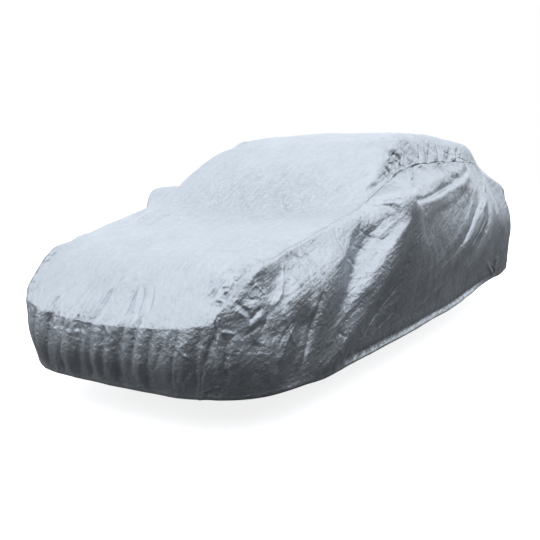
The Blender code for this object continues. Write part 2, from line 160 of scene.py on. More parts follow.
def make_dome():
    """A world that is bright from a little over the horizon up, and plain white to the camera."""
    world = bpy.data.worlds.new("dome")
    world.use_nodes = True
    nodes = world.node_tree.nodes
    links = world.node_tree.links
    sky = nodes["Background"]
    sky.inputs["Color"].default_value = SKY_COLOUR
    direction = nodes.new("ShaderNodeTexCoord")
    parts = nodes.new("ShaderNodeSeparateXYZ")
    lifted = []
    for share in (BACK_SHARE, SIDE_SHARE):
        tilt = nodes.new("ShaderNodeMath")
        tilt.operation = "MULTIPLY_ADD"
        tilt.inputs[1].default_value = share
        lifted.append(tilt)
    links.new(direction.outputs["Generated"], parts.inputs[0])
    links.new(parts.outputs[1], lifted[0].inputs[0])
    links.new(parts.outputs[2], lifted[0].inputs[2])
    links.new(parts.outputs[0], lifted[1].inputs[0])
    links.new(lifted[0].outputs[0], lifted[1].inputs[2])
    glow = None
    for source, border, low, high in (
        (lifted[1].outputs[0], HORIZON, SKY_DARK, SKY_BRIGHT - DUSK_GLOW),
        (lifted[1].outputs[0], DUSK, 0.0, DUSK_GLOW),
        (parts.outputs[0], SIDE_EDGE, 0.0, SIDE_GLOW),
        (lifted[1].outputs[0], ZENITH, 0.0, ZENITH_LOSS),
    ):
        step = nodes.new("ShaderNodeMapRange")
        step.interpolation_type = "SMOOTHSTEP"
        for number, value in enumerate((border[0], border[1], low, high), start=1):
            step.inputs[number].default_value = value
        links.new(source, step.inputs[0])
        both = nodes.new("ShaderNodeMath")
        both.operation = "ADD"
        links.new(step.outputs[0], both.inputs[0])
        if glow is None:
            both.inputs[1].default_value = 0.0
        else:
            links.new(glow, both.inputs[1])
        glow = both.outputs[0]
    links.new(glow, sky.inputs["Strength"])
    backdrop = nodes.new("ShaderNodeBackground")
    backdrop.inputs["Strength"].default_value = BACKDROP_WHITE
    backdrop.inputs["Color"].default_value = (1.0, 1.0, 1.0, 1.0)
    ray = nodes.new("ShaderNodeLightPath")
    mix = nodes.new("ShaderNodeMixShader")
    links.new(ray.outputs["Is Camera Ray"], mix.inputs[0])
    links.new(sky.outputs[0], mix.inputs[1])
    links.new(backdrop.outputs[0], mix.inputs[2])
    links.new(mix.outputs[0], nodes["World Output"].inputs["Surface"])
    bpy.context.scene.world = world
    bpy.context.scene.view_settings.view_transform = "Standard"
    return sky


floor = make_floor()
overhead_place = (0.0, OVERHEAD_Y, OVERHEAD_HEIGHT + GROUND_Z)
soft_light("overhead", overhead_place, OVERHEAD_SIZE, OVERHEAD_POWER)
sky = make_dome()
print("floor at", round(GROUND_Z, 3), "and a dome up to", SKY_BRIGHT)

# %% [markdown]
# Each panel's sheet starts as a copy of its solid. A solid has an outer skin, an inner skin and a narrow
# rim. The rim's faces are the only ones with an edge as short as the cloth is thick, so deleting those
# frees the two skins, and the one that faces away from the middle is kept. Its triangles are then paired
# back into four-sided faces, because those subdivide smoothly.

# %% The outer skin of a panel
RIM_EDGE = 0.003
WELD_DISTANCE = 0.00001
# a line inside the cover, that every outer face looks away from
SPINE_FRONT = -2.0
SPINE_BACK = 1.0
SPINE_HEIGHT = -0.8


def linked_faces(first):
    found = {first}
    waiting = [first]
    while waiting:
        for edge in waiting.pop().edges:
            for face in edge.link_faces:
                if face not in found:
                    found.add(face)
                    waiting.append(face)
    return found


def faces_outward(faces):
    total = 0.0
    for face in faces:
        place = face.calc_center_median()
        spine = Vector((0.0, min(max(place.y, SPINE_FRONT), SPINE_BACK), SPINE_HEIGHT))
        total += face.normal.dot(place - spine) * face.calc_area()
    return total > 0.0


def outer_skin(node):
    bm = bmesh.new()
    bm.from_mesh(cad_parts[node].data)
    bmesh.ops.remove_doubles(bm, verts=bm.verts, dist=WELD_DISTANCE)
    rim = [face for face in bm.faces if min(edge.calc_length() for edge in face.edges) < RIM_EDGE]
    bmesh.ops.delete(bm, geom=rim, context="FACES")
    bm.faces.ensure_lookup_table()
    one_skin = linked_faces(bm.faces[0])
    if faces_outward(one_skin):
        spare = [face for face in bm.faces if face not in one_skin]
    else:
        spare = list(one_skin)
    bmesh.ops.delete(bm, geom=spare, context="FACES")
    bmesh.ops.join_triangles(
        bm, faces=bm.faces, angle_face_threshold=math.pi, angle_shape_threshold=math.pi
    )
    return bm


# %% [markdown]
# Wrinkles run on over a seam, so the three skins are sewn together first and worked on as one shell.
# The material index of each face remembers which panel it was cut from, and at the end the shell is cut
# apart again along the seams. A Catmull-Clark subdivision rounds the coarse faces off.

# %% Sew the three skins together
PANELS = ("centre_panel", "left_side_panel", "right_side_panel")
SEAM_GAP = 0.0012
SMOOTH_LEVELS = 2


def sewn_shell():
    bm = bmesh.new()
    for number, node in enumerate(PANELS):
        skin = outer_skin(node)
        for face in skin.faces:
            face.material_index = number
        carrier = bpy.data.meshes.new(node + "_skin")
        skin.to_mesh(carrier)
        skin.free()
        bm.from_mesh(carrier)
        bpy.data.meshes.remove(carrier)
    bmesh.ops.remove_doubles(bm, verts=bm.verts, dist=SEAM_GAP)
    mesh = bpy.data.meshes.new("shell")
    bm.to_mesh(mesh)
    bm.free()
    return mesh


def as_seen(carrier):
    """The mesh of an object with its modifiers applied, and the object is gone."""
    seen = carrier.evaluated_get(bpy.context.evaluated_depsgraph_get())
    mesh = bpy.data.meshes.new_from_object(seen)
    bpy.data.objects.remove(carrier)
    return mesh


def carrier_of(mesh):
    carrier = bpy.data.objects.new("carrier", mesh)
    bpy.context.scene.collection.objects.link(carrier)
    return carrier


def smoothed(mesh, levels):
    carrier = carrier_of(mesh)
    smooth = carrier.modifiers.new("smooth", "SUBSURF")
    smooth.levels = smooth.render_levels = levels
    return as_seen(carrier)


shell = smoothed(sewn_shell(), SMOOTH_LEVELS)
print("sewn shell:", len(shell.polygons), "faces")

# %% [markdown]
# Folds are drawn on the cover like lines on a plan. A line is drawn from the left, the right, the front
# or from above, in metres, and rays carry it on to the cloth. Cloth near the line moves along its own
# normal, most on the line and less beside it, and the line fades at its two ends.

# %% Lines drawn on the cloth
from mathutils.bvhtree import BVHTree

FAR = 5.0
LINE_STEP = 0.012
END_FADE = 0.22
VIEWS = {
    # view: (axis that the ray runs along, its sign)
    "left": (0, -1.0),
    "right": (0, 1.0),
    "front": (1, 1.0),
    "back": (1, -1.0),
    "above": (2, -1.0),
}


def points_of(mesh):
    flat = np.empty(3 * len(mesh.vertices), dtype=np.float32)
    mesh.vertices.foreach_get("co", flat)
    return flat.reshape(-1, 3).astype(float)


def normals_of(mesh):
    flat = np.empty(3 * len(mesh.vertices), dtype=np.float32)
    mesh.vertex_normals.foreach_get("vector", flat)
    return flat.reshape(-1, 3).astype(float)


def move_points(mesh, points):
    mesh.vertices.foreach_set("co", points.astype(np.float32).ravel())
    mesh.update()


def tree_of(mesh):
    return BVHTree.FromPolygons(
        [vertex.co for vertex in mesh.vertices], [tuple(face.vertices) for face in mesh.polygons]
    )


def rounded_line(corners):
    """Points a step apart on the smooth curve through the corners."""
    corners = [np.array(corner, dtype=float) for corner in corners]
    padded = [2.0 * corners[0] - corners[1]] + corners + [2.0 * corners[-1] - corners[-2]]
    line = []
    for before, start, end, after in zip(padded, padded[1:], padded[2:], padded[3:]):
        count = max(2, int(np.linalg.norm(end - start) / LINE_STEP))
        for step in range(count):
            t = step / count
            line.append(0.5 * (
                2.0 * start + (end - before) * t
                + (2.0 * before - 5.0 * start + 4.0 * end - after) * t ** 2
                + (3.0 * start - before - 3.0 * end + after) * t ** 3
            ))
    line.append(corners[-1])
    return line


def carried_on(tree, view, corners):
    """The drawn line on the cloth, as points of the frame. Corners are distances from DATUM."""
    axis, sign = VIEWS[view]
    rest = [number for number in range(3) if number != axis]
    found = []
    for pair in rounded_line(corners):
        start = Vector((0.0, 0.0, 0.0))
        start[rest[0]], start[rest[1]] = pair
        start -= DATUM
        start[axis] = -sign * FAR
        ahead = Vector((0.0, 0.0, 0.0))
        ahead[axis] = sign
        place = tree.ray_cast(start, ahead)[0]
        if place is not None:
            found.append(place)
    return np.array(found)


def distance_to(line, points):
    """How far each point is from the line, and how far along it the nearest place is, 0 to 1."""
    nearest = np.full(len(points), np.inf)
    along = np.zeros(len(points))
    steps = np.linalg.norm(np.diff(line, axis=0), axis=1)
    reached = np.concatenate([[0.0], np.cumsum(steps)]) / steps.sum()
    for number, (start, end) in enumerate(zip(line[:-1], line[1:])):
        run = end - start
        t = np.clip(((points - start) @ run) / max(run @ run, 1e-12), 0.0, 1.0)
        gap = np.linalg.norm(points - start - t[:, None] * run, axis=1)
        closer = gap < nearest
        nearest[closer] = gap[closer]
        share = reached[number] + t * (reached[number + 1] - reached[number])
        along[closer] = share[closer]
    return nearest, along


def soft_step(value):
    value = np.clip(value, 0.0, 1.0)
    return value * value * (3.0 - 2.0 * value)


def draw(mesh, rows, strength=1.0):
    """Raise or sink the cloth along each row's line."""
    tree = tree_of(mesh)
    points = points_of(mesh)
    normals = normals_of(mesh)
    height = np.zeros(len(points))
    for view, half_width, rise, corners in rows:
        line = carried_on(tree, view, corners)
        if len(line) < 3:
            print("a line misses the cloth:", view, corners)
            continue
        reach = 3.0 * half_width
        low = line.min(axis=0) - reach
        high = line.max(axis=0) + reach
        near = np.nonzero(np.all((points > low) & (points < high), axis=1))[0]
        gap, along = distance_to(line, points[near])
        fade = soft_step(along / END_FADE) * soft_step((1.0 - along) / END_FADE)
        height[near] += rise * np.exp(-(gap / half_width) ** 2) * fade
    move_points(mesh, points + strength * height[:, None] * normals)
    return len(rows)


# %% [markdown]
# The main folds are in the solids. What comes first here are a few swells, a hand wide: the cloth stands
# out a little along the side windows and over the front corner, and is drawn in under the corner.

# %% Swells
SWELLS = [
    # view, half width, rise, corners: (y, z) from a side, (x, z) from front or back, (x, y) from above
    ("left", 0.080, 0.034, [(0.60, 1.02), (1.05, 1.02), (1.50, 1.04), (2.00, 1.09), (2.50, 1.16)]),
    ("right", 0.080, 0.026, [(0.60, 1.04), (1.05, 1.04), (1.50, 1.06), (2.00, 1.11), (2.50, 1.17)]),
    ("left", 0.060, 0.020, [(-0.20, 0.88), (-0.44, 0.83), (-0.57, 0.77), (-0.67, 0.70), (-0.75, 0.59),
                           (-0.80, 0.48)]),
    ("right", 0.060, 0.018, [(-0.20, 0.88), (-0.44, 0.83), (-0.57, 0.77), (-0.67, 0.70), (-0.75, 0.59),
                           (-0.80, 0.48)]),
    ("left", 0.090, -0.020, [(-0.26, 0.52), (-0.44, 0.51), (-0.62, 0.48), (-0.76, 0.43)]),
    ("right", 0.090, -0.016, [(-0.26, 0.52), (-0.44, 0.51), (-0.62, 0.48), (-0.76, 0.43)]),
]
print(draw(shell, SWELLS), "swells")

# %% [markdown]
# The coating makes this cloth stiff and papery, so cloth with a little length to spare buckles into fine
# crinkles. Blender's cloth solver makes those itself: each spring is given a rest length slightly longer
# than it starts with, and every point is held softly to its place, as cloth that lies on a body is. How
# much length is spare is painted on the cover: most over the side windows and in front of the mirrors,
# where it really is bunched up, and next to none on the bonnet. Gravity stays off, since the shape
# already hangs.

# %% Let the cloth crinkle
CLOTH_FRAMES = 12
HOLD = 0.16
SPARE_LEAST = 0.001
SPARE_MOST = 0.05
STRETCH_STIFFNESS = 30.0
SHEAR_STIFFNESS = 10.0
BENDING_STIFFNESS = 0.05
DAMPING = 10.0
ZONE_EDGE = 1.25
SPARE_ZONES = [
    # centre (x, y, z from DATUM; x is used on both sides), radius, share of the spare length
    ((0.66, 1.15, 1.28), 0.42, 0.95),
    ((0.64, 1.90, 1.32), 0.50, 0.80),
    ((0.84, 0.38, 0.90), 0.24, 0.42),
    ((0.35, 0.45, 1.06), 0.50, 0.20),
    ((0.00, 0.45, 1.06), 0.50, 0.20),
    ((0.68, -0.62, 0.66), 0.20, 0.24),
    ((0.86, 1.60, 0.70), 0.90, 0.06),
]


def painted(mesh, zones, least=0.0):
    """A weight for each vertex, from rounded zones that are the same on both sides."""
    places = points_of(mesh) + np.array(DATUM)
    places[:, 0] = np.abs(places[:, 0])
    weight = np.full(len(places), least)
    for centre, radius, share in zones:
        gap = np.linalg.norm(places - np.array(centre), axis=1) / radius
        weight = np.maximum(weight, share * soft_step(ZONE_EDGE - gap))
    return weight


def hem_vertices(bm):
    return {vertex.index for edge in bm.edges if edge.is_boundary for vertex in edge.verts}


def crinkled(mesh):
    carrier = carrier_of(mesh)
    bm = bmesh.new()
    bm.from_mesh(mesh)
    hem = hem_vertices(bm)
    bm.free()
    hold = carrier.vertex_groups.new(name="hold")
    hold.add(range(len(mesh.vertices)), HOLD, "REPLACE")
    hold.add(list(hem), 1.0, "REPLACE")
    spare = carrier.vertex_groups.new(name="spare")
    for number, weight in enumerate(painted(mesh, SPARE_ZONES)):
        spare.add([number], float(weight), "REPLACE")
    modifier = carrier.modifiers.new("crinkle", "CLOTH")
    cloth = modifier.settings
    cloth.quality = 5
    cloth.mass = 0.2
    cloth.tension_stiffness = cloth.compression_stiffness = STRETCH_STIFFNESS
    cloth.shear_stiffness = SHEAR_STIFFNESS
    cloth.tension_damping = cloth.compression_damping = cloth.shear_damping = DAMPING
    cloth.bending_model = "ANGULAR"
    cloth.bending_stiffness = BENDING_STIFFNESS
    cloth.bending_damping = 0.5
    cloth.air_damping = 5.0
    cloth.vertex_group_mass = "hold"
    cloth.pin_stiffness = 1.0
    cloth.vertex_group_shrink = "spare"
    cloth.shrink_min = -SPARE_LEAST
    cloth.shrink_max = -SPARE_MOST
    cloth.effector_weights.gravity = 0.0
    modifier.collision_settings.use_collision = False
    modifier.collision_settings.use_self_collision = False
    modifier.point_cache.frame_start = 1
    modifier.point_cache.frame_end = CLOTH_FRAMES
    for number in range(1, CLOTH_FRAMES + 1):
        bpy.context.scene.frame_set(number)
    result = as_seen(carrier)
    bpy.context.scene.frame_set(1)
    return result


flat_points = points_of(shell)
shell = crinkled(shell)
moved = np.linalg.norm(points_of(shell) - flat_points, axis=1) * 1000.0
print("crinkles move the cloth", round(moved.mean(), 2), "mm on average")
print("and", round(moved.max(), 1), "mm at most")

# %% [markdown]
# Now the creases. Broad ones are ridges and troughs a few fingers wide, sharp ones a finger or less, and
# deep ones are as narrow but steeper. Each is placed where the real cover shows it. The left side's are
# listed; the right side, which hangs the same way, gets them shifted a little and shallower. The rear
# skirt has plain upright folds.

# %% Where the creases run
import random

BROAD_LINES = [
    # columns as in SWELLS: view, half width, rise, corners
    # the wing: the fold from the windscreen's foot down to the knee, and the hollow behind it
    ("left", 0.022, 0.009, [(0.40, 1.00), (0.21, 0.89), (0.08, 0.81), (-0.09, 0.74)]),
    ("left", 0.018, -0.007, [(0.36, 0.98), (0.20, 0.87), (0.13, 0.81)]),
    ("left", 0.032, -0.014, [(0.40, 0.90), (0.25, 0.80), (0.12, 0.70), (0.00, 0.60)]),
    ("left", 0.024, -0.006, [(0.26, 0.76), (0.15, 0.68), (0.04, 0.61), (-0.06, 0.53)]),
    # the ridge from the mirror down to the hem, narrow above and wide below
    ("left", 0.018, 0.012, [(0.58, 0.97), (0.47, 0.88), (0.37, 0.79), (0.24, 0.68)]),
    ("left", 0.026, 0.007, [(0.34, 0.76), (0.12, 0.59), (-0.03, 0.50), (-0.17, 0.40), (-0.25, 0.33)]),
    ("left", 0.040, -0.009, [(0.52, 0.86), (0.38, 0.73), (0.21, 0.58), (0.02, 0.43)]),
    # the knee and the deep crease under it
    ("left", 0.013, -0.007, [(-0.205, 0.66), (-0.275, 0.54), (-0.325, 0.43), (-0.375, 0.33),
                             (-0.405, 0.26)]),
    ("left", 0.020, 0.010, [(-0.25, 0.66), (-0.32, 0.54), (-0.37, 0.43), (-0.42, 0.33), (-0.45, 0.26)]),
    # what fans out of the corner's seam
    ("left", 0.020, 0.003, [(-0.40, 0.76), (-0.47, 0.67), (-0.54, 0.60)]),
    ("left", 0.020, -0.003, [(-0.44, 0.76), (-0.51, 0.67), (-0.56, 0.62)]),
    ("left", 0.016, 0.008, [(-0.59, 0.52), (-0.61, 0.39), (-0.61, 0.27)]),
    ("left", 0.016, -0.008, [(-0.55, 0.54), (-0.57, 0.42), (-0.58, 0.30)]),
    ("left", 0.018, -0.008, [(-0.65, 0.50), (-0.66, 0.40), (-0.66, 0.28)]),
    ("left", 0.013, 0.001, [(-0.60, 0.60), (-0.64, 0.57), (-0.69, 0.54)]),
    ("left", 0.013, 0.002, [(-0.69, 0.65), (-0.66, 0.63), (-0.62, 0.62)]),
    ("left", 0.013, -0.004, [(-0.60, 0.56), (-0.65, 0.53), (-0.70, 0.50)]),
    ("front", 0.014, 0.010, [(0.635, 0.55), (0.640, 0.43), (0.635, 0.32)]),
    # the valley from the mirror to the rear end of the roof, and the ridge under it
    ("left", 0.016, -0.013, [(0.60, 1.04), (1.20, 1.05), (1.74, 1.09), (2.11, 1.13)]),
    ("left", 0.018, 0.012, [(0.66, 1.022), (1.11, 1.025), (1.68, 1.055), (2.10, 1.105), (2.74, 1.19)]),
    ("left", 0.045, 0.016, [(0.66, 1.09), (1.20, 1.11), (1.74, 1.15), (2.11, 1.18), (2.60, 1.22)]),
    ("left", 0.028, -0.007, [(1.01, 0.94), (1.52, 0.95), (1.97, 1.01), (2.33, 1.08), (2.70, 1.13)]),
    # the long folds that hang from there
    ("left", 0.022, 0.006, [(2.70, 1.12), (2.28, 0.97), (1.81, 0.78), (1.52, 0.69), (1.16, 0.60),
                            (0.76, 0.51)]),
    ("left", 0.022, -0.005, [(2.56, 1.00), (2.18, 0.85), (1.75, 0.67), (1.44, 0.59)]),
    ("left", 0.018, 0.005, [(2.74, 1.05), (2.34, 0.89), (2.03, 0.76), (1.80, 0.66), (1.62, 0.57)]),
    ("left", 0.020, -0.005, [(2.60, 0.92), (2.20, 0.73), (1.92, 0.59)]),
    ("left", 0.015, 0.005, [(2.84, 1.06), (2.49, 0.92), (2.30, 0.84)]),
    ("left", 0.018, 0.005, [(2.76, 0.93), (2.52, 0.76), (2.30, 0.63), (2.14, 0.52)]),
    ("left", 0.060, -0.012, [(2.84, 0.66), (2.95, 0.56), (2.96, 0.42)]),
    ("left", 0.014, 0.008, [(2.88, 0.29), (2.72, 0.36), (2.52, 0.46)]),
    ("left", 0.013, 0.008, [(2.89, 0.29), (2.80, 0.40), (2.78, 0.50)]),
    ("left", 0.013, -0.007, [(2.90, 0.30), (2.88, 0.40), (2.88, 0.50)]),
    ("left", 0.018, 0.007, [(0.92, 0.62), (0.60, 0.48), (0.30, 0.34)]),
    ("left", 0.020, -0.006, [(1.10, 0.52), (0.80, 0.42), (0.52, 0.33)]),
    ("left", 0.018, 0.006, [(1.60, 0.46), (1.24, 0.39), (0.90, 0.33)]),
    # the side windows: one long crease up from the mirror, and bunched cloth above the seam
    ("left", 0.013, -0.006, [(1.38, 1.22), (1.02, 1.13), (0.62, 1.08)]),
    ("left", 0.016, 0.005, [(1.46, 1.20), (1.10, 1.11), (0.72, 1.06)]),
    ("left", 0.016, -0.012, [(1.00, 1.34), (1.10, 1.28), (1.05, 1.20)]),
    ("left", 0.015, 0.010, [(0.93, 1.30), (1.00, 1.25), (0.96, 1.18)]),
    ("left", 0.014, -0.010, [(0.84, 1.24), (0.90, 1.20), (0.86, 1.14)]),
    ("left", 0.014, -0.012, [(1.16, 1.37), (1.20, 1.30), (1.14, 1.23)]),
    ("left", 0.016, 0.010, [(1.28, 1.37), (1.28, 1.30), (1.22, 1.24)]),
    ("left", 0.013, -0.013, [(1.58, 1.39), (1.50, 1.31), (1.41, 1.25)]),
    ("left", 0.016, 0.010, [(1.67, 1.39), (1.59, 1.31), (1.51, 1.25)]),
    ("left", 0.013, -0.011, [(1.77, 1.39), (1.71, 1.33), (1.63, 1.26)]),
    ("left", 0.016, 0.009, [(1.88, 1.39), (1.80, 1.32), (1.72, 1.26)]),
    ("left", 0.013, -0.011, [(2.00, 1.39), (1.90, 1.32), (1.80, 1.26)]),
    ("left", 0.016, 0.009, [(2.11, 1.39), (2.01, 1.31), (1.90, 1.26)]),
    ("left", 0.013, -0.012, [(2.24, 1.38), (2.14, 1.31), (2.02, 1.26)]),
    ("left", 0.016, 0.008, [(2.36, 1.37), (2.26, 1.31), (2.14, 1.26)]),
    ("left", 0.013, -0.010, [(2.46, 1.37), (2.38, 1.31), (2.26, 1.26)]),
    # the front skirt's grooves, and the ridges between them
    ("front", 0.014, -0.008, [(-0.50, 0.56), (-0.51, 0.42), (-0.53, 0.22)]),
    ("front", 0.018, 0.006, [(-0.44, 0.56), (-0.45, 0.42), (-0.49, 0.22)]),
    ("front", 0.013, -0.009, [(-0.37, 0.56), (-0.39, 0.40), (-0.45, 0.20)]),
    ("front", 0.018, 0.006, [(-0.32, 0.56), (-0.32, 0.38), (-0.38, 0.21)]),
    ("front", 0.013, -0.009, [(-0.27, 0.56), (-0.26, 0.41), (-0.34, 0.19)]),
    ("front", 0.018, 0.006, [(-0.21, 0.56), (-0.20, 0.38), (-0.26, 0.20)]),
    ("front", 0.014, -0.008, [(-0.16, 0.56), (-0.14, 0.40), (-0.20, 0.20)]),
    ("front", 0.013, -0.011, [(-0.08, 0.56), (-0.07, 0.40), (-0.13, 0.18)]),
    ("front", 0.018, 0.006, [(-0.03, 0.56), (-0.01, 0.38), (-0.06, 0.21)]),
    ("front", 0.013, -0.010, [(0.03, 0.56), (0.03, 0.41), (-0.01, 0.24)]),
    ("front", 0.017, 0.006, [(0.09, 0.56), (0.07, 0.38), (0.03, 0.21)]),
    ("front", 0.013, -0.011, [(0.15, 0.56), (0.11, 0.37), (0.07, 0.20)]),
    ("front", 0.015, 0.006, [(0.18, 0.56), (0.16, 0.37), (0.12, 0.22)]),
    ("front", 0.014, -0.012, [(0.235, 0.60), (0.23, 0.50), (0.22, 0.44), (0.19, 0.28)]),
    ("front", 0.016, 0.006, [(0.28, 0.56), (0.26, 0.38), (0.23, 0.22)]),
    ("front", 0.014, -0.006, [(0.33, 0.56), (0.30, 0.37), (0.26, 0.21)]),
    ("front", 0.018, 0.004, [(0.38, 0.56), (0.34, 0.38), (0.31, 0.22)]),
    ("front", 0.016, -0.005, [(0.47, 0.56), (0.44, 0.38), (0.40, 0.22)]),
    ("front", 0.018, 0.005, [(0.52, 0.56), (0.50, 0.40), (0.47, 0.22)]),
    ("front", 0.015, -0.006, [(0.57, 0.56), (0.55, 0.42), (0.52, 0.22)]),
    # the bonnet's front edge
    ("above", 0.022, 0.005, [(0.02, -0.68), (0.03, -0.78), (0.04, -0.86)]),
    ("above", 0.020, -0.004, [(0.09, -0.70), (0.11, -0.78), (0.13, -0.84)]),
    ("above", 0.024, -0.005, [(-0.22, -0.68), (-0.24, -0.76), (-0.26, -0.84)]),
    ("above", 0.024, 0.005, [(-0.14, -0.68), (-0.15, -0.78), (-0.17, -0.85)]),
    ("above", 0.022, -0.005, [(0.25, -0.32), (0.47, -0.36), (0.67, -0.33)]),
    ("above", 0.022, 0.005, [(0.30, -0.26), (0.49, -0.30), (0.64, -0.27)]),
    ("above", 0.022, 0.005, [(0.25, -0.41), (0.46, -0.43), (0.64, -0.40)]),
    # the cloth that the far mirror pulls up
    ("above", 0.022, -0.014, [(-0.34, -0.18), (-0.39, 0.02), (-0.43, 0.19)]),
    ("above", 0.022, 0.014, [(-0.46, -0.10), (-0.54, 0.08), (-0.60, 0.28)]),
    ("above", 0.022, -0.013, [(-0.52, -0.16), (-0.61, 0.02), (-0.68, 0.22)]),
    # the windscreen's slanting creases
    ("above", 0.019, -0.0095, [(-0.25, 0.60), (0.10, 0.28), (0.42, -0.02)]),
    ("above", 0.019, 0.0084, [(-0.14, 0.62), (0.18, 0.33), (0.48, 0.05)]),
    ("above", 0.019, -0.0084, [(-0.06, 0.65), (0.24, 0.40), (0.53, 0.15)]),
    ("above", 0.019, 0.0074, [(0.01, 0.78), (0.24, 0.57), (0.44, 0.39)]),
    ("above", 0.019, -0.0074, [(-0.07, 0.40), (0.16, 0.18), (0.38, -0.02)]),
    ("above", 0.019, -0.0074, [(0.17, 0.72), (0.36, 0.58), (0.54, 0.45)]),
    ("above", 0.019, 0.0074, [(0.18, 0.84), (0.42, 0.66), (0.64, 0.50)]),
    ("above", 0.019, -0.0105, [(0.49, 0.50), (0.59, 0.63), (0.68, 0.74)]),
    ("above", 0.019, 0.0095, [(0.60, 0.46), (0.68, 0.56), (0.73, 0.72)]),
]
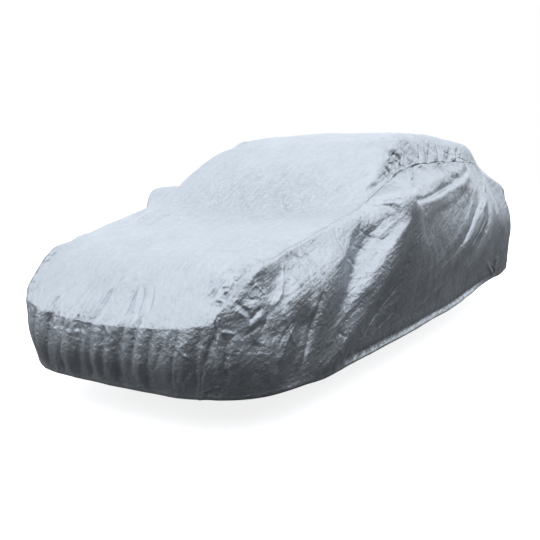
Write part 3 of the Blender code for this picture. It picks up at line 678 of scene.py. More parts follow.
SHARP_LINES = [
    # the bonnet's front edge
    ("above", 0.009, -0.016, [(-0.03, -0.73), (-0.04, -0.77), (-0.04, -0.84), (-0.06, -0.88)]),
    ("above", 0.009, 0.007, [(-0.05, -0.74), (-0.06, -0.80), (-0.08, -0.87)]),
    ("above", 0.009, -0.014, [(0.14, -0.71), (0.18, -0.77), (0.20, -0.82), (0.22, -0.85)]),
    ("above", 0.009, 0.007, [(0.12, -0.72), (0.16, -0.79), (0.19, -0.85)]),
    ("above", 0.009, -0.011, [(0.20, -0.71), (0.24, -0.76), (0.27, -0.83)]),
    ("above", 0.009, 0.005, [(0.22, -0.72), (0.26, -0.77), (0.29, -0.82)]),
    ("above", 0.009, -0.009, [(0.09, -0.73), (0.11, -0.77), (0.13, -0.84)]),
    ("above", 0.009, -0.014, [(-0.36, -0.78), (-0.37, -0.82), (-0.37, -0.86)]),
    ("above", 0.009, 0.006, [(-0.39, -0.78), (-0.40, -0.82), (-0.40, -0.86)]),
    ("above", 0.009, -0.005, [(-0.31, -0.72), (-0.33, -0.76), (-0.35, -0.80)]),
    ("above", 0.008, -0.004, [(-0.01, -0.75), (0.02, -0.80), (0.06, -0.84)]),
    ("above", 0.009, -0.006, [(-0.09, -0.80), (-0.10, -0.84), (-0.11, -0.87)]),
    ("above", 0.009, -0.006, [(-0.22, -0.76), (-0.24, -0.82), (-0.25, -0.87)]),
    ("above", 0.009, -0.005, [(-0.16, -0.77), (-0.17, -0.82), (-0.19, -0.87)]),
    ("above", 0.009, -0.010, [(0.54, -0.73), (0.56, -0.69), (0.58, -0.63)]),
    ("above", 0.009, 0.006, [(0.52, -0.74), (0.54, -0.69), (0.56, -0.62)]),
    ("above", 0.009, -0.006, [(0.50, -0.70), (0.53, -0.66), (0.55, -0.60)]),
    ("above", 0.008, -0.006, [(0.47, -0.66), (0.53, -0.62), (0.60, -0.57)]),
    # the lip's teeth
    ("front", 0.009, -0.012, [(-0.35, 0.550), (-0.35, 0.50), (-0.36, 0.46)]),
    ("front", 0.009, -0.012, [(-0.30, 0.550), (-0.30, 0.50), (-0.31, 0.46)]),
    ("front", 0.009, -0.012, [(-0.25, 0.550), (-0.25, 0.50), (-0.26, 0.46)]),
    ("front", 0.009, -0.012, [(-0.20, 0.550), (-0.20, 0.50), (-0.21, 0.46)]),
    ("front", 0.009, -0.011, [(-0.16, 0.55), (-0.16, 0.50), (-0.15, 0.46)]),
    ("front", 0.009, -0.011, [(-0.12, 0.55), (-0.12, 0.50), (-0.11, 0.46)]),
    ("front", 0.013, 0.010, [(0.20, 0.57), (0.205, 0.49)]),
    # small creases of the front skirt
    ("front", 0.008, 0.005, [(0.02, 0.53), (0.05, 0.50), (0.08, 0.47)]),
    ("front", 0.007, 0.005, [(0.43, 0.54), (0.41, 0.49), (0.40, 0.43)]),
    ("front", 0.007, -0.004, [(0.45, 0.54), (0.43, 0.49), (0.42, 0.43)]),
    ("front", 0.008, 0.006, [(0.48, 0.45), (0.50, 0.43), (0.53, 0.41)]),
    ("front", 0.008, -0.007, [(0.39, 0.48), (0.35, 0.37), (0.32, 0.32)]),
    ("front", 0.008, -0.008, [(0.52, 0.36), (0.48, 0.29)]),
    ("front", 0.008, -0.007, [(0.47, 0.36), (0.44, 0.29)]),
    ("front", 0.008, -0.006, [(0.43, 0.34), (0.41, 0.28)]),
    # the front corner: two deep upright creases with a raised panel between them
    ("front", 0.009, 0.006, [(0.685, 0.50), (0.690, 0.43), (0.680, 0.35)]),
    ("left", 0.008, -0.003, [(-0.66, 0.67), (-0.62, 0.66), (-0.58, 0.66)]),
    ("left", 0.007, 0.004, [(-0.60, 0.73), (-0.57, 0.70), (-0.55, 0.67)]),
    ("left", 0.009, 0.005, [(-0.72, 0.63), (-0.70, 0.61), (-0.67, 0.58)]),
    ("left", 0.009, 0.005, [(-0.78, 0.54), (-0.76, 0.53), (-0.73, 0.52)]),
    ("left", 0.009, -0.008, [(-0.70, 0.66), (-0.67, 0.61), (-0.66, 0.56)]),
    ("left", 0.009, -0.008, [(-0.60, 0.62), (-0.63, 0.60), (-0.67, 0.57)]),
    ("left", 0.009, -0.007, [(-0.56, 0.60), (-0.58, 0.56), (-0.62, 0.51)]),
    ("left", 0.008, 0.003, [(-0.66, 0.50), (-0.64, 0.47), (-0.60, 0.46)]),
    # thin straight creases of the wing
    ("left", 0.007, 0.005, [(-0.36, 0.82), (-0.42, 0.74), (-0.47, 0.67), (-0.55, 0.60)]),
    ("left", 0.007, 0.006, [(-0.25, 0.85), (-0.24, 0.77), (-0.23, 0.67)]),
    ("left", 0.007, -0.005, [(-0.28, 0.84), (-0.27, 0.76), (-0.26, 0.66)]),
    ("left", 0.007, 0.005, [(-0.20, 0.86), (-0.18, 0.78), (-0.16, 0.70)]),
    ("left", 0.007, -0.005, [(-0.22, 0.85), (-0.20, 0.78), (-0.19, 0.69)]),
    ("left", 0.007, 0.006, [(-0.36, 0.81), (-0.36, 0.74), (-0.35, 0.68)]),
    ("left", 0.007, 0.005, [(-0.48, 0.65), (-0.49, 0.57), (-0.48, 0.50), (-0.43, 0.40)]),
    ("left", 0.007, -0.004, [(-0.46, 0.64), (-0.46, 0.56), (-0.45, 0.50)]),
    ("left", 0.008, 0.005, [(-0.42, 0.53), (-0.49, 0.47), (-0.53, 0.41), (-0.57, 0.35)]),
    ("left", 0.007, -0.004, [(-0.44, 0.55), (-0.51, 0.49), (-0.56, 0.42)]),
    # the hollow behind the fold, and the nick in it
    ("left", 0.009, -0.006, [(0.07, 0.78), (0.13, 0.76), (0.18, 0.71)]),
    ("left", 0.009, 0.004, [(0.04, 0.77), (0.10, 0.745), (0.15, 0.70)]),
    ("left", 0.009, 0.004, [(0.12, 0.66), (0.17, 0.67), (0.22, 0.70)]),
    ("left", 0.009, -0.004, [(0.34, 0.98), (0.28, 0.90), (0.26, 0.84)]),
    ("left", 0.009, 0.004, [(0.38, 0.98), (0.32, 0.90), (0.29, 0.85)]),
    ("left", 0.009, -0.004, [(0.48, 0.98), (0.38, 0.90), (0.32, 0.86)]),
    ("left", 0.009, 0.004, [(0.50, 0.96), (0.40, 0.88), (0.34, 0.83)]),
    ("left", 0.009, -0.004, [(0.44, 0.88), (0.34, 0.82), (0.27, 0.76)]),
    ("left", 0.009, -0.004, [(0.26, 0.93), (0.32, 0.87), (0.40, 0.84)]),
    ("left", 0.009, -0.004, [(0.16, 0.83), (0.24, 0.81), (0.30, 0.78)]),
    # the lower wing
    ("left", 0.007, 0.007, [(-0.20, 0.37), (-0.17, 0.385), (-0.13, 0.38)]),
    ("left", 0.007, -0.006, [(-0.12, 0.43), (-0.08, 0.41), (-0.04, 0.38)]),
    ("left", 0.008, 0.004, [(-0.23, 0.27), (-0.17, 0.30), (-0.12, 0.33)]),
    ("left", 0.008, 0.004, [(-0.04, 0.24), (-0.06, 0.29), (-0.10, 0.33)]),
    # what runs into the mirror's point
    ("above", 0.008, -0.007, [(0.82, 0.50), (0.89, 0.52), (0.96, 0.54)]),
    ("above", 0.008, 0.006, [(0.82, 0.47), (0.89, 0.50), (0.96, 0.52)]),
    ("above", 0.008, -0.007, [(0.78, 0.44), (0.87, 0.48), (0.96, 0.50)]),
    ("left", 0.008, 0.006, [(0.76, 1.14), (0.70, 1.11), (0.62, 1.07)]),
    ("left", 0.009, -0.008, [(1.38, 1.22), (1.02, 1.13), (0.66, 1.08)]),
    ("left", 0.009, -0.010, [(0.64, 1.035), (1.00, 1.04), (1.40, 1.06), (1.74, 1.08)]),
    # the side windows
    ("left", 0.008, -0.007, [(1.95, 1.34), (2.30, 1.30), (2.70, 1.25)]),
    ("left", 0.008, 0.006, [(2.05, 1.27), (2.35, 1.31), (2.58, 1.34)]),
    ("left", 0.008, -0.007, [(2.60, 1.36), (2.50, 1.31), (2.40, 1.27)]),
    ("left", 0.008, -0.008, [(1.08, 1.34), (1.05, 1.28), (1.12, 1.22)]),
    ("left", 0.008, -0.006, [(1.26, 1.36), (1.12, 1.29), (1.00, 1.24)]),
    ("left", 0.008, 0.004, [(0.90, 1.26), (0.98, 1.27), (1.10, 1.31)]),
    ("left", 0.008, -0.006, [(0.80, 1.20), (0.84, 1.16), (0.82, 1.12)]),
    # the flank's hem curls outwards
    ("left", 0.010, 0.015, [(-0.25, 0.207), (0.40, 0.212), (0.90, 0.213), (1.40, 0.222), (1.80, 0.233),
                            (2.20, 0.260), (2.60, 0.280), (2.84, 0.284)]),
    ("left", 0.014, -0.008, [(-0.25, 0.240), (0.40, 0.245), (0.90, 0.246), (1.40, 0.255), (1.80, 0.266),
                             (2.20, 0.293), (2.60, 0.313), (2.84, 0.317)]),
    # long thin creases of the flank
    ("left", 0.008, 0.005, [(2.86, 1.07), (2.50, 0.93), (2.36, 0.88)]),
    ("left", 0.007, -0.006, [(2.50, 0.98), (2.10, 0.82), (1.70, 0.66), (1.44, 0.59)]),
    ("left", 0.007, 0.005, [(1.90, 0.74), (1.60, 0.63), (1.30, 0.55)]),
    ("left", 0.007, -0.006, [(2.46, 0.84), (2.18, 0.71), (1.94, 0.60)]),
    ("left", 0.007, 0.005, [(1.42, 0.44), (1.00, 0.37), (0.62, 0.32)]),
    ("left", 0.007, -0.005, [(1.30, 0.42), (0.90, 0.35), (0.54, 0.30)]),
    ("left", 0.007, 0.005, [(0.86, 0.45), (0.56, 0.37), (0.30, 0.30)]),
    ("left", 0.007, -0.005, [(0.62, 0.60), (0.42, 0.46), (0.24, 0.33)]),
    ("left", 0.007, 0.004, [(1.08, 0.84), (1.02, 0.74), (0.98, 0.62)]),
    ("left", 0.007, -0.004, [(1.36, 0.80), (1.32, 0.72), (1.22, 0.66)]),
    ("left", 0.007, 0.006, [(2.89, 0.30), (2.82, 0.36), (2.70, 0.42)]),
    ("left", 0.007, 0.006, [(2.89, 0.30), (2.87, 0.38), (2.84, 0.46)]),
]
DEEP_LINES = [
    # the tucks beside the corner's seam, the two upright creases below it, and the one under the knee
    ("above", 0.0075, -0.012, [(0.690, -0.49), (0.680, -0.54), (0.668, -0.57), (0.672, -0.59),
                               (0.650, -0.62), (0.650, -0.64), (0.632, -0.65), (0.640, -0.69),
                               (0.615, -0.71), (0.625, -0.74)]),
    ("above", 0.0070, -0.007, [(0.672, -0.59), (0.640, -0.575), (0.615, -0.58)]),
    ("above", 0.0070, -0.007, [(0.650, -0.64), (0.618, -0.625), (0.590, -0.63)]),
    ("above", 0.0070, -0.008, [(0.640, -0.69), (0.605, -0.68), (0.570, -0.69)]),
    ("above", 0.0070, -0.008, [(0.625, -0.74), (0.590, -0.735), (0.560, -0.75)]),
    ("front", 0.0085, -0.013, [(0.645, 0.62), (0.625, 0.58), (0.630, 0.53), (0.615, 0.49), (0.60, 0.44),
                               (0.59, 0.36)]),
    ("front", 0.0085, -0.014, [(0.660, 0.53), (0.668, 0.44), (0.662, 0.37), (0.655, 0.28)]),
    ("left", 0.0085, -0.008, [(-0.212, 0.66), (-0.282, 0.54), (-0.332, 0.43), (-0.382, 0.32)]),
]
CREASE_HALF_WIDTH = 0.006
CREASE_DEPTH = -0.006
SHARP_SHARE = 0.70
RIGHT_SHIFT = 0.07
RIGHT_SHARE = 0.75
EDGE_HAIRS = 12
EDGE_HAIRS_FROM = -0.34
EDGE_HAIR_PITCH = 0.042
EDGE_HAIR_HALF_WIDTH = 0.006
REAR_FOLDS = 13
REAR_PITCH = 0.095
REAR_HALF_WIDTH = 0.030


def on_the_right(rows):
    """The left side's rows, a little further back and shallower, for the right side."""
    return [
        ("right", half_width, rise * RIGHT_SHARE, [(y + RIGHT_SHIFT, z) for y, z in corners])
        for view, half_width, rise, corners in rows
        if view == "left"
    ]


def edge_hairs():
    """Thin slanting creases of the bonnet's front edge, close together."""
    draws = random.Random(8)
    rows = []
    for number in range(EDGE_HAIRS):
        x = EDGE_HAIRS_FROM + number * EDGE_HAIR_PITCH + draws.uniform(-0.012, 0.012)
        back = draws.uniform(-0.74, -0.66)
        rise = draws.uniform(0.0025, 0.0050) * draws.choice((-1, 1))
        corners = [(x, back), (x - 0.02, -0.79), (x - 0.04, -0.865)]
        rows.append(("above", EDGE_HAIR_HALF_WIDTH, rise, corners))
    return rows


def rear_folds():
    """Upright folds of the rear skirt, ridge and trough in turn."""
    draws = random.Random(5)
    rows = []
    for number in range(REAR_FOLDS):
        x = (number - (REAR_FOLDS - 1) / 2) * REAR_PITCH + draws.uniform(-0.02, 0.02)
        rise = draws.uniform(0.005, 0.010) * (1 if number % 2 else -1)
        lean = draws.uniform(-0.04, 0.04)
        top = draws.uniform(0.62, 0.80)
        rows.append(("back", REAR_HALF_WIDTH, rise, [(x, top), (x + 0.4 * lean, 0.50), (x + lean, 0.36)]))
    return rows


def creased(rows):
    """A thin crease along the bottom of each trough of the front skirt."""
    return [
        ("front", CREASE_HALF_WIDTH, CREASE_DEPTH, corners)
        for view, half_width, rise, corners in rows
        if view == "front" and rise < 0.0
    ]


SHARP_LINES += creased(BROAD_LINES) + edge_hairs()
BROAD_LINES += on_the_right(BROAD_LINES) + rear_folds()
SHARP_LINES += on_the_right(SHARP_LINES)
DEEP_LINES += on_the_right(DEEP_LINES)
print(len(BROAD_LINES), "broad creases and", len(SHARP_LINES), "sharp ones")

# %% [markdown]
# The grid is too coarse for creases. So before the broad ones are drawn, every edge near a crease is cut
# in two where it is long. Before the sharp ones, the edges near those are cut once more, and before the
# deep ones twice. New corners are eased towards their neighbours, so that no flat facet shows.

# %% Finer faces near the creases, and the creases
EASE = 0.5
BROAD_REACH = 0.0165
BROAD_EDGE = 0.0162
SHARP_REACH = 0.0074
SHARP_EDGE = 0.0084
DEEP_REACH = 0.014
DEEP_EDGE = 0.0055
NARROW = 0.0145


def near_lines(mesh, points, rows, reach):
    """Whether each point lies near one of the drawn lines."""
    tree = tree_of(mesh)
    near = np.zeros(len(points), dtype=bool)
    for view, half_width, rise, corners in rows:
        line = carried_on(tree, view, corners)
        if len(line) < 3:
            continue
        low = line.min(axis=0) - reach
        high = line.max(axis=0) + reach
        inside = np.all((points > low) & (points < high), axis=1)
        some = np.nonzero(inside & ~near)[0]
        if len(some):
            near[some] = distance_to(line, points[some])[0] < reach
    return near


def refined(mesh, rows, reach, longest):
    """The mesh with its faces cut in four near the drawn lines, where an edge is longer than `longest`."""
    centres = np.array([face.center for face in mesh.polygons])
    near = near_lines(mesh, centres, rows, reach)
    bm = bmesh.new()
    bm.from_mesh(mesh)
    close = [face for face in bm.faces if near[face.index]]
    long_ones = [face for face in close if max(edge.calc_length() for edge in face.edges) > longest]
    chosen = list({edge for face in long_ones for edge in face.edges})
    made = bmesh.ops.subdivide_edges(bm, edges=chosen, cuts=1, use_grid_fill=True)
    inner = [item for item in made["geom_inner"] if isinstance(item, bmesh.types.BMVert)]
    inner = [vertex for vertex in inner if not vertex.is_boundary]
    bmesh.ops.smooth_vert(
        bm, verts=inner, factor=EASE, use_axis_x=True, use_axis_y=True, use_axis_z=True
    )
    result = bpy.data.meshes.new("shell")
    bm.to_mesh(result)
    bm.free()
    return result


def face_counts(mesh):
    return [sum(1 for face in mesh.polygons if face.material_index == number) for number in range(3)]


narrow = [row for row in BROAD_LINES if row[1] < NARROW]
shell = refined(shell, narrow + SHARP_LINES, BROAD_REACH, BROAD_EDGE)
print(draw(shell, BROAD_LINES), "broad creases on", face_counts(shell), "faces")
shell = refined(shell, SHARP_LINES, SHARP_REACH, SHARP_EDGE)
print(draw(shell, SHARP_LINES, SHARP_SHARE), "sharp creases on", face_counts(shell), "faces")
for longest in (2.0 * DEEP_EDGE, DEEP_EDGE):
    shell = refined(shell, DEEP_LINES, DEEP_REACH, longest)
print(draw(shell, DEEP_LINES), "deep creases on", face_counts(shell), "faces")

# %% [markdown]
# Coated cloth that has been folded away keeps flat little facets with straight creases between them, like
# crumpled paper. A sum of zigzag waves in many directions makes such facets. Slow waves switch each
# zigzag on and off and bend it, so that no pattern shows. How deep the facets are is painted by zones.

# %% Papery facets
FACET_WAVES = 7
FACET_LENGTHS = [
    # wave length, share of the depth
    (0.120, 1.00),
    (0.066, 0.60),
    (0.038, 0.34),
]
FACET_LEAST = 0.10
FACET_MOST = 0.0055
FACET_ZONES = [
    # as in SPARE_ZONES: centre, radius, share of the depth
    ((0.66, 1.10, 1.28), 0.40, 1.90),
    ((0.62, 1.90, 1.33), 0.62, 1.80),
    ((0.68, -0.62, 0.66), 0.28, 1.45),
    ((0.60, -0.80, 0.46), 0.24, 0.45),
    ((0.84, 0.36, 0.92), 0.26, 0.45),
    ((0.80, -0.28, 0.72), 0.34, 0.28),
    ((0.88, 0.20, 0.50), 0.60, 0.24),
    ((0.88, 1.60, 0.66), 1.00, 0.24),
    ((0.30, -0.88, 0.36), 0.36, 0.30),
    ((0.00, -0.90, 0.36), 0.36, 0.30),
    ((0.35, 0.40, 1.04), 0.46, 0.24),
    ((0.00, 0.40, 1.04), 0.46, 0.20),
    ((0.50, -0.40, 0.84), 0.30, 0.16),
    ((0.78, 1.20, 1.10), 0.30, 0.20),
]


def facets(points, length, seed):
    """Heights of about -0.5 to 0.5 with straight creases, for points in metres."""
    draws = random.Random(seed)

    def direction():
        arrow = np.array([draws.gauss(0.0, 1.0) for _ in range(3)])
        return arrow / np.linalg.norm(arrow)

    total = np.zeros(len(points))
    for _ in range(FACET_WAVES):
        bend = 0.45 * np.sin(points @ direction() * 2.1 / length + draws.uniform(0.0, 6.3))
        way = points @ direction() / (length * draws.uniform(0.7, 1.5)) + draws.random() + bend
        zigzag = 2.0 * np.abs(way - np.floor(way) - 0.5) - 0.5
        gate = np.sin(points @ direction() * 1.5 / length + draws.uniform(0.0, 6.3))
        total += soft_step(0.5 + 0.9 * gate) * zigzag
    return total / math.sqrt(FACET_WAVES)


def crumple(mesh):
    points = points_of(mesh)
    depth = FACET_MOST * painted(mesh, FACET_ZONES, FACET_LEAST)
    height = np.zeros(len(points))
    for number, (length, share) in enumerate(FACET_LENGTHS):
        height += share * facets(points, length, 11 + number)
    move_points(mesh, points + (depth * height)[:, None] * normals_of(mesh))
    return np.abs(depth * height).max()


print("facets up to", round(crumple(shell) * 1000.0, 1), "mm deep")

# %% [markdown]
# A seam holds the two panels' edges together on the inside, so it shows as a low ridge with a narrow
# trough beside it. Along the front corner the stitches draw up more cloth than they have room for, and
# it bunches into short tucks that run square to the seam, on the side of the bonnet's panel.

# %% The seams
from mathutils.kdtree import KDTree

SEAM_RIDGE_WIDTH = 0.008
SEAM_RIDGE_RISE = 0.0045
SEAM_TROUGH_OFF = 0.018
SEAM_TROUGH_WIDTH = 0.009
SEAM_TROUGH_RISE = -0.0020
SEAM_LEAST = 0.15
TUCK_PITCH = 0.052
TUCK_LENGTH = 0.055
TUCK_DEPTH = 0.011
TUCKS_FROM_Y = -0.80
TUCKS_TO_Y = -0.46
SHORTEST_RUN = 5
FRONT_FADE = 0.05
BACK_FADE = 0.08
SIDE_PANEL_SHARE = 0.35


def chains(edges):
    """The edges as runs of vertices, one after another, each run in its own order."""
    beside = {}
    for edge in edges:
        for here, there in ((edge.verts[0], edge.verts[1]), (edge.verts[1], edge.verts[0])):
            beside.setdefault(here, []).append(there)
    runs = []
    left = set(beside)
    ends = [vertex for vertex in beside if len(beside[vertex]) == 1]
    while left:
        start = next((vertex for vertex in ends if vertex in left), None)
        if start is None:
            start = min(left, key=lambda vertex: vertex.index)
        run = [start]
        left.discard(start)
        while True:
            step = next((vertex for vertex in beside[run[-1]] if vertex in left), None)
            if step is None:
                break
            left.discard(step)
            run.append(step)
        runs.append(run)
    return runs


def edge_runs(mesh, wanted):
    bm = bmesh.new()
    bm.from_mesh(mesh)
    bm.verts.ensure_lookup_table()
    chosen = [edge for edge in bm.edges if wanted(edge)]
    runs = [[vertex.index for vertex in run] for run in chains(chosen)]
    bm.free()
    return [run for run in runs if len(run) >= SHORTEST_RUN]


def is_seam(edge):
    faces = edge.link_faces
    return len(faces) == 2 and faces[0].material_index != faces[1].material_index


def is_hem(edge):
    return edge.is_boundary


def nearest_on(indices, points):
    tree = KDTree(len(indices))
    for number, index in enumerate(indices):
        tree.insert(points[index], number)
    tree.balance()
    found = [tree.find(point) for point in points]
    return np.array([item[2] for item in found]), np.array([item[1] for item in found])


def panel_of_vertices(mesh):
    panel = np.zeros(len(mesh.vertices), dtype=int)
    for face in mesh.polygons:
        for index in face.vertices:
            panel[index] = max(panel[index], face.material_index)
    return panel


def seam_relief(mesh):
    points = points_of(mesh)
    normals = normals_of(mesh)
    panel = panel_of_vertices(mesh)
    height = np.zeros(len(points))
    for run in edge_runs(mesh, is_seam):
        gap, slot = nearest_on(run, points)
        steps = np.linalg.norm(np.diff(points[run], axis=0), axis=1)
        reached = np.concatenate([[0.0], np.cumsum(steps)])
        way = reached[slot]
        swing = 0.35 * np.sin(way * 31.0) + 0.25 * np.sin(way * 57.0 + 1.0)
        wave = np.cos(2.0 * math.pi * way / TUCK_PITCH + 2.0 * swing)
        y = points[:, 1] + DATUM.y
        where = soft_step((y - TUCKS_FROM_Y) / FRONT_FADE) * soft_step((TUCKS_TO_Y - y) / BACK_FADE)
        drawn_up = SEAM_LEAST + (1.0 - SEAM_LEAST) * where
        beside = (gap - SEAM_TROUGH_OFF) / SEAM_TROUGH_WIDTH
        height += drawn_up * SEAM_RIDGE_RISE * np.exp(-(gap / SEAM_RIDGE_WIDTH) ** 2)
        height += drawn_up * SEAM_TROUGH_RISE * np.exp(-beside ** 2)
        side = np.where(panel == 0, 1.0, SIDE_PANEL_SHARE)
        reach = np.exp(-((gap - 0.6 * TUCK_LENGTH) / (0.5 * TUCK_LENGTH)) ** 2)
        height += -TUCK_DEPTH * where * side * reach * np.maximum(wave, 0.0) ** 2
    move_points(mesh, points + height[:, None] * normals)


seam_relief(shell)

# %% [markdown]
# The hem is turned over an elastic, which gathers the edge. So the last hand's breadth of the skirt is
# puckered, the puckers die out upwards, and the turned edge itself is a soft roll.

# %% The gathered hem
PUCKERS = [
    # length of one pucker along the hem, depth, how high it reaches
    (0.036, 0.0016, 0.035),
    (0.058, 0.0030, 0.060),
    (0.097, 0.0042, 0.110),
]
EDGE_CALM = 0.030
ROLL_HEIGHT = 0.012
ROLL_RISE = 0.0030
ROLL_FROM_Y = 0.6
HEM_TROUGH_HEIGHT = 0.036
HEM_TROUGH_DEPTH = -0.002
ROLL_WIDTH = 0.010
HEM_TROUGH_WIDTH = 0.012
ROLL_LEAST = 0.2
ROLL_FADE = 0.5


def hem_relief(mesh):
    points = points_of(mesh)
    normals = normals_of(mesh)
    height = np.zeros(len(points))
    for run in edge_runs(mesh, is_hem):
        gap, slot = nearest_on(run, points)
        steps = np.linalg.norm(np.diff(points[run], axis=0), axis=1)
        way = np.concatenate([[0.0], np.cumsum(steps)])[slot]
        off_edge = 1.0 - np.exp(-(gap / EDGE_CALM) ** 2)
        for number, (length, depth, reach) in enumerate(PUCKERS):
            drift = 1.4 * np.sin(way * 2.3 + number) + 0.9 * np.sin(way * 6.1 + 2.0 * number)
            swell = 0.55 + 0.45 * np.sin(way * 3.7 + 1.7 * number)
            wave = np.sin(2.0 * math.pi * way / length + drift)
            height += depth * swell * wave * off_edge * np.exp(-gap / reach)
        behind = soft_step((points[:, 1] + DATUM.y - ROLL_FROM_Y) / ROLL_FADE)
        rolled = ROLL_LEAST + (1.0 - ROLL_LEAST) * behind
        height += rolled * ROLL_RISE * np.exp(-((gap - ROLL_HEIGHT) / ROLL_WIDTH) ** 2)
        off_trough = (gap - HEM_TROUGH_HEIGHT) / HEM_TROUGH_WIDTH
        height += rolled * HEM_TROUGH_DEPTH * np.exp(-off_trough ** 2)
    move_points(mesh, points + height[:, None] * normals)


hem_relief(shell)
print("hem and seams shaped")

# %% [markdown]
# Some of the cloth is more crinkled than the rest: what was bunched up has creases too fine to model, and
# what is pulled smooth has fewer. How much of them shows is stored at each point, as `grain`.

# %% How crinkled each place is
GRAIN_LEAST = 0.75
GRAIN_ZONES = [
    # as in SPARE_ZONES: centre, radius, share
    ((0.10, 0.30, 1.10), 0.75, 1.50),
    ((0.66, 1.15, 1.28), 0.45, 1.00),
    ((0.62, 1.90, 1.33), 0.62, 1.00),
    ((0.68, -0.62, 0.66), 0.30, 0.80),
    ((0.82, 0.32, 0.88), 0.26, 0.90),
    ((0.88, 0.15, 0.50), 0.55, 0.60),
    ((0.60, -0.84, 0.40), 0.30, 0.80),
    ((0.00, -0.92, 0.34), 0.45, 0.60),
    ((0.88, 1.50, 0.60), 1.00, 0.50),
    ((0.30, 0.45, 1.06), 0.45, 0.50),
    ((0.00, -0.88, 0.22), 0.11, 1.30),
    ((0.20, -0.88, 0.22), 0.11, 1.30),
    ((0.40, -0.86, 0.22), 0.11, 1.20),
    ((0.60, -0.78, 0.24), 0.13, 1.10),
]


def store_grain(mesh):
    grain = painted(mesh, GRAIN_ZONES, GRAIN_LEAST)
    stored = mesh.attributes.new("grain", "FLOAT", "POINT")
    stored.data.foreach_set("value", grain.astype(np.float32))
    return grain.mean()


print("grain", round(float(store_grain(shell)), 2), "on average")

# %% [markdown]
# The cloth is woven of fine threads and has a silver coating on its outside, full of tiny metal flakes, so
# it is shaded as a dull metal. Five things make it read as cloth: a weave, creases too fine to model,
# coating rubbed dull along them together with painted shade of those creases in the colour, shine that
# varies from place to place, and a little dust on the lowest quarter of a metre. All are worked out from
# object coordinates, so no image is needed.

# %% The silver cloth
SILVER = (0.56, 0.60, 0.65, 1.0)
# a darker silver, for random tone and for the rubbed coating and painted shade along the creases
SILVER_DULL_AND_SHADED = (0.485, 0.525, 0.575, 1.0)
DUSTY = (0.43, 0.44, 0.44, 1.0)
THREADS_PER_METRE = 900.0
CREASES_PER_METRE = 15.0
FINE_CREASES_PER_METRE = 55.0
CREASE_TURNS = ((70.0, 0.0, 10.0), (14.0, 10.0, 0.0))
CREASE_STRETCH = (44.0, 44.0, 6.0)
DUST_FROM = 0.20
DUST_TO = 0.46
METAL_SHARE = 0.95
SHINIEST = 0.37
DULLEST = 0.46
SOFT_STRENGTH = 0.55
PAPERY_STRENGTH = 0.75
PULLED_STRENGTH = 0.50
THREAD_STRENGTH = 0.3


class Finish:
    """A material with short calls for the nodes that this lesson uses."""

    def __init__(self, name):
        self.material = bpy.data.materials.new(name)
        self.material.use_nodes = True
        self.tree = self.material.node_tree
        self.surface = self.tree.nodes["Principled BSDF"]
        self.place = self.add("ShaderNodeTexCoord").outputs["Object"]

    def add(self, kind, **settings):
        node = self.tree.nodes.new(kind)
        for name, value in settings.items():
            setattr(node, name, value)
        return node

    def feed(self, socket, value):
        if isinstance(value, bpy.types.NodeSocket):
            self.tree.links.new(value, socket)
        else:
            socket.default_value = value

    def noise(self, scale, detail=3.0, kind="FBM", place=None, distortion=0.0):
        node = self.add("ShaderNodeTexNoise", noise_type=kind, normalize=True)
        self.feed(node.inputs["Vector"], place or self.place)
        node.inputs["Scale"].default_value = scale
        node.inputs["Detail"].default_value = detail
        node.inputs["Distortion"].default_value = distortion
        return node.outputs["Fac"]

    def turned(self, degrees, stretch):
        """Object coordinates turned, and then scaled by so much along each axis."""
        turn = self.add("ShaderNodeMapping", vector_type="POINT")
        self.feed(turn.inputs["Vector"], self.place)
        turn.inputs["Rotation"].default_value = [math.radians(angle) for angle in degrees]
        scale = self.add("ShaderNodeVectorMath", operation="MULTIPLY")
        self.feed(scale.inputs[0], turn.outputs[0])
        scale.inputs[1].default_value = stretch
        return scale.outputs[0]

    def sums(self, operation, first, second=0.0, third=0.0):
        node = self.add("ShaderNodeMath", operation=operation)
        for socket, value in zip(node.inputs, (first, second, third)):
            self.feed(socket, value)
        return node.outputs[0]

    def spread(self, value, low, high, to_low=0.0, to_high=1.0):
        node = self.add("ShaderNodeMapRange", interpolation_type="SMOOTHSTEP")
        for socket, number in zip(node.inputs, (value, low, high, to_low, to_high)):
            self.feed(socket, number)
        return node.outputs[0]

    def mixed(self, share, first, second):
        node = self.add("ShaderNodeMix", data_type="RGBA")
        self.feed(node.inputs[0], share)
        self.feed(node.inputs[6], first)
        self.feed(node.inputs[7], second)
        return node.outputs[2]

    def bump(self, height, distance, strength=1.0, under=None):
        node = self.add("ShaderNodeBump")
        self.feed(node.inputs["Strength"], strength)
        node.inputs["Distance"].default_value = distance
        self.feed(node.inputs["Height"], height)
        if under is not None:
            self.feed(node.inputs["Normal"], under)
        return node.outputs[0]


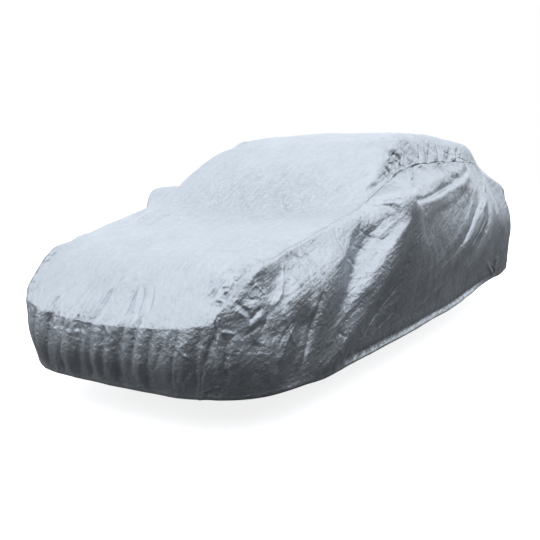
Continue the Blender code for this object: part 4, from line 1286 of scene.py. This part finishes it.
def silver_cloth(name):
    cloth = Finish(name)
    grain = cloth.add("ShaderNodeAttribute", attribute_name="grain").outputs["Fac"]
    soft = cloth.noise(CREASES_PER_METRE, 4.0, "RIDGED_MULTIFRACTAL", distortion=0.3)
    papery = cloth.noise(FINE_CREASES_PER_METRE, 4.0, distortion=0.3)
    relief = cloth.bump(soft, 0.010, cloth.sums("MULTIPLY", grain, SOFT_STRENGTH))
    relief = cloth.bump(papery, 0.008, cloth.sums("MULTIPLY", grain, PAPERY_STRENGTH), relief)
    pulled = papery
    for turn in CREASE_TURNS:
        stretched = cloth.noise(1.0, 4.0, place=cloth.turned(turn, CREASE_STRETCH), distortion=0.15)
        strength = cloth.sums("MULTIPLY", grain, PULLED_STRENGTH)
        relief = cloth.bump(stretched, 0.012, strength, relief)
        pulled = cloth.sums("ADD", pulled, stretched)
    threads = cloth.noise(THREADS_PER_METRE, 1.0)
    relief = cloth.bump(threads, 0.0004, THREAD_STRENGTH, relief)
    cloth.feed(cloth.surface.inputs["Normal"], relief)
    # partly rubbed coating and partly painted shade: the colour darkens where the same crease fields that
    # drive the bumps are high, so the creases show even where the cloth mirrors bright sky
    crease_shade_and_wear = cloth.sums("MULTIPLY", cloth.spread(pulled, 1.28, 1.72, 0.0, 0.60), grain)
    patches = cloth.spread(cloth.noise(4.5, 4.0), 0.35, 0.65)
    tone_wear_and_crease_shade = cloth.sums("MULTIPLY_ADD", patches, 0.15, crease_shade_and_wear)
    colour = cloth.mixed(tone_wear_and_crease_shade, SILVER, SILVER_DULL_AND_SHADED)
    parts = cloth.add("ShaderNodeSeparateXYZ")
    cloth.feed(parts.inputs[0], cloth.place)
    low = cloth.spread(parts.outputs[2], GROUND_Z + DUST_FROM, GROUND_Z + DUST_TO, 0.5, 0.0)
    dust = cloth.sums("MULTIPLY", low, cloth.noise(14.0, 6.0))
    cloth.feed(cloth.surface.inputs["Base Color"], cloth.mixed(dust, colour, DUSTY))
    shine = cloth.spread(cloth.noise(7.0, 5.0), 0.3, 0.7, SHINIEST, DULLEST)
    cloth.feed(cloth.surface.inputs["Roughness"], shine)
    cloth.surface.inputs["Metallic"].default_value = METAL_SHARE
    return cloth.material


silver = silver_cloth("silver cloth")
print(len(silver.node_tree.nodes), "nodes in the silver cloth")

# %% [markdown]
# Each seam is held by a row of stitches on either side of it, and the hem by one row above the elastic. A
# stitch is a grain of thread that lies on the cloth, pointed at both ends where it dives in. It has six
# corners, because thousands of them are needed. Each one belongs to the panel that it lies on.

# %% The stitches
STITCH_PITCH = 0.0062
STITCH_LENGTH = 0.0042
STITCH_WIDTH = 0.0011
STITCH_HEIGHT = 0.0008
SEAM_STITCH_OFF = 0.0070
HEM_STITCH_OFF = 0.0240
SHORTEST_STEP = 0.2
THREAD_PALE = (0.60, 0.63, 0.67, 1.0)
THREAD_DARK = (0.42, 0.45, 0.49, 1.0)


def thread_finish(name):
    thread = Finish(name)
    shade = thread.spread(thread.noise(60.0, 3.0), 0.35, 0.65)
    thread.feed(thread.surface.inputs["Base Color"], thread.mixed(shade, THREAD_PALE, THREAD_DARK))
    twist = thread.noise(2600.0, 1.0)
    thread.feed(thread.surface.inputs["Normal"], thread.bump(twist, 0.0003, 0.6))
    thread.surface.inputs["Roughness"].default_value = 0.62
    return thread.material


def evenly_along(points, pitch):
    """Places a pitch apart along a run of points, with the direction at each."""
    steps = np.linalg.norm(np.diff(points, axis=0), axis=1)
    reached = np.concatenate([[0.0], np.cumsum(steps)])
    wanted = np.arange(0.5 * pitch, reached[-1], pitch)
    places = np.stack([np.interp(wanted, reached, points[:, axis]) for axis in range(3)], axis=1)
    ahead = np.stack([np.interp(wanted + pitch, reached, points[:, axis]) for axis in range(3)], axis=1)
    return [(Vector(place), Vector(there - place)) for place, there in zip(places, ahead)]


def add_stitch(bm, centre, along, across, out):
    corners = (
        centre - along * STITCH_LENGTH / 2,
        centre + along * STITCH_LENGTH / 2,
        centre - across * STITCH_WIDTH / 2,
        centre + across * STITCH_WIDTH / 2,
        centre + out * STITCH_HEIGHT,
        centre - out * STITCH_HEIGHT,
    )
    back, front, right, left, top, bottom = [bm.verts.new(corner) for corner in corners]
    for tip, one, other in ((top, right, left), (bottom, left, right)):
        bm.faces.new((tip, one, front))
        bm.faces.new((tip, front, other))
        bm.faces.new((tip, other, back))
        bm.faces.new((tip, back, one))


def sew(bms, tree, run_points, offsets):
    """Rows of stitches beside a run of points, one for each offset. A single row goes on the upper side."""
    count = 0
    for place, ahead in evenly_along(run_points, STITCH_PITCH):
        if ahead.length < SHORTEST_STEP * STITCH_PITCH:
            continue
        normal = tree.find_nearest(place)[1]
        side = normal.cross(ahead).normalized()
        for offset in offsets:
            wanted = place + side * offset
            if len(offsets) == 1 and side.z < 0.0:
                wanted = place - side * offset
            centre, out, face, gap = tree.find_nearest(wanted)
            along = (ahead - out * ahead.dot(out)).normalized()
            add_stitch(bms[shell.polygons[face].material_index], centre, along, out.cross(along), out)
            count += 1
    return count


def stitch_pieces():
    tree = tree_of(shell)
    points = points_of(shell)
    bms = [bmesh.new() for _ in PANELS]
    count = 0
    for run in edge_runs(shell, is_seam):
        count += sew(bms, tree, points[run], (-SEAM_STITCH_OFF, SEAM_STITCH_OFF))
    for run in edge_runs(shell, is_hem):
        count += sew(bms, tree, points[run], (HEM_STITCH_OFF,))
    thread = thread_finish("polyester thread")
    pieces = []
    for node, bm in zip(PANELS, bms):
        bmesh.ops.recalc_face_normals(bm, faces=bm.faces)
        mesh = bpy.data.meshes.new(node + "_stitches")
        bm.to_mesh(mesh)
        bm.free()
        mesh.materials.append(thread)
        piece = bpy.data.objects.new(node + "_stitches", mesh)
        bpy.context.scene.collection.objects.link(piece)
        pieces.append(piece)
    print(count, "stitches")
    return pieces


stitches = stitch_pieces()

# %% [markdown]
# Now the shell is cut apart along its seams, and each panel becomes a sheet of its own. The cloth gets
# its thickness inwards, so that its outside stays where it was shaped. The flat sizes are the size of
# cloth that each panel is cut from, and the area is that of its pattern.

# %% Cut the panels apart
SHEET_THICKNESS = 0.002
CUTS = {
    # sheet: (node, width, length, area)
    "centre_cloth": ("centre_panel", 1.95, 6.10, 9.1),
    "left_cloth": ("left_side_panel", 1.30, 5.00, 4.5),
    "right_cloth": ("right_side_panel", 1.30, 5.00, 4.5),
}


def panel_sheet(name, node):
    number = PANELS.index(node)
    bm = bmesh.new()
    bm.from_mesh(shell)
    other = [face for face in bm.faces if face.material_index != number]
    bmesh.ops.delete(bm, geom=other, context="FACES")
    for face in bm.faces:
        face.material_index = 0
        face.smooth = True
    mesh = bpy.data.meshes.new(name)
    bm.to_mesh(mesh)
    bm.free()
    mesh.materials.append(silver)
    sheet = bpy.data.objects.new(name, mesh)
    bpy.context.scene.collection.objects.link(sheet)
    wall = sheet.modifiers.new("thickness", "SOLIDIFY")
    wall.thickness = SHEET_THICKNESS
    wall.offset = -1.0
    return sheet


def cloth_area(mesh):
    return sum(face.area for face in mesh.polygons)


for name, (node, width, length, area) in CUTS.items():
    sheet = panel_sheet(name, node)
    sewn = stitches[PANELS.index(node)]
    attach(sewn, "root")
    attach(sheet, "root")
    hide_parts(node)
    print(name, len(sheet.data.polygons), "faces,", round(cloth_area(sheet.data), 2), "square metres")
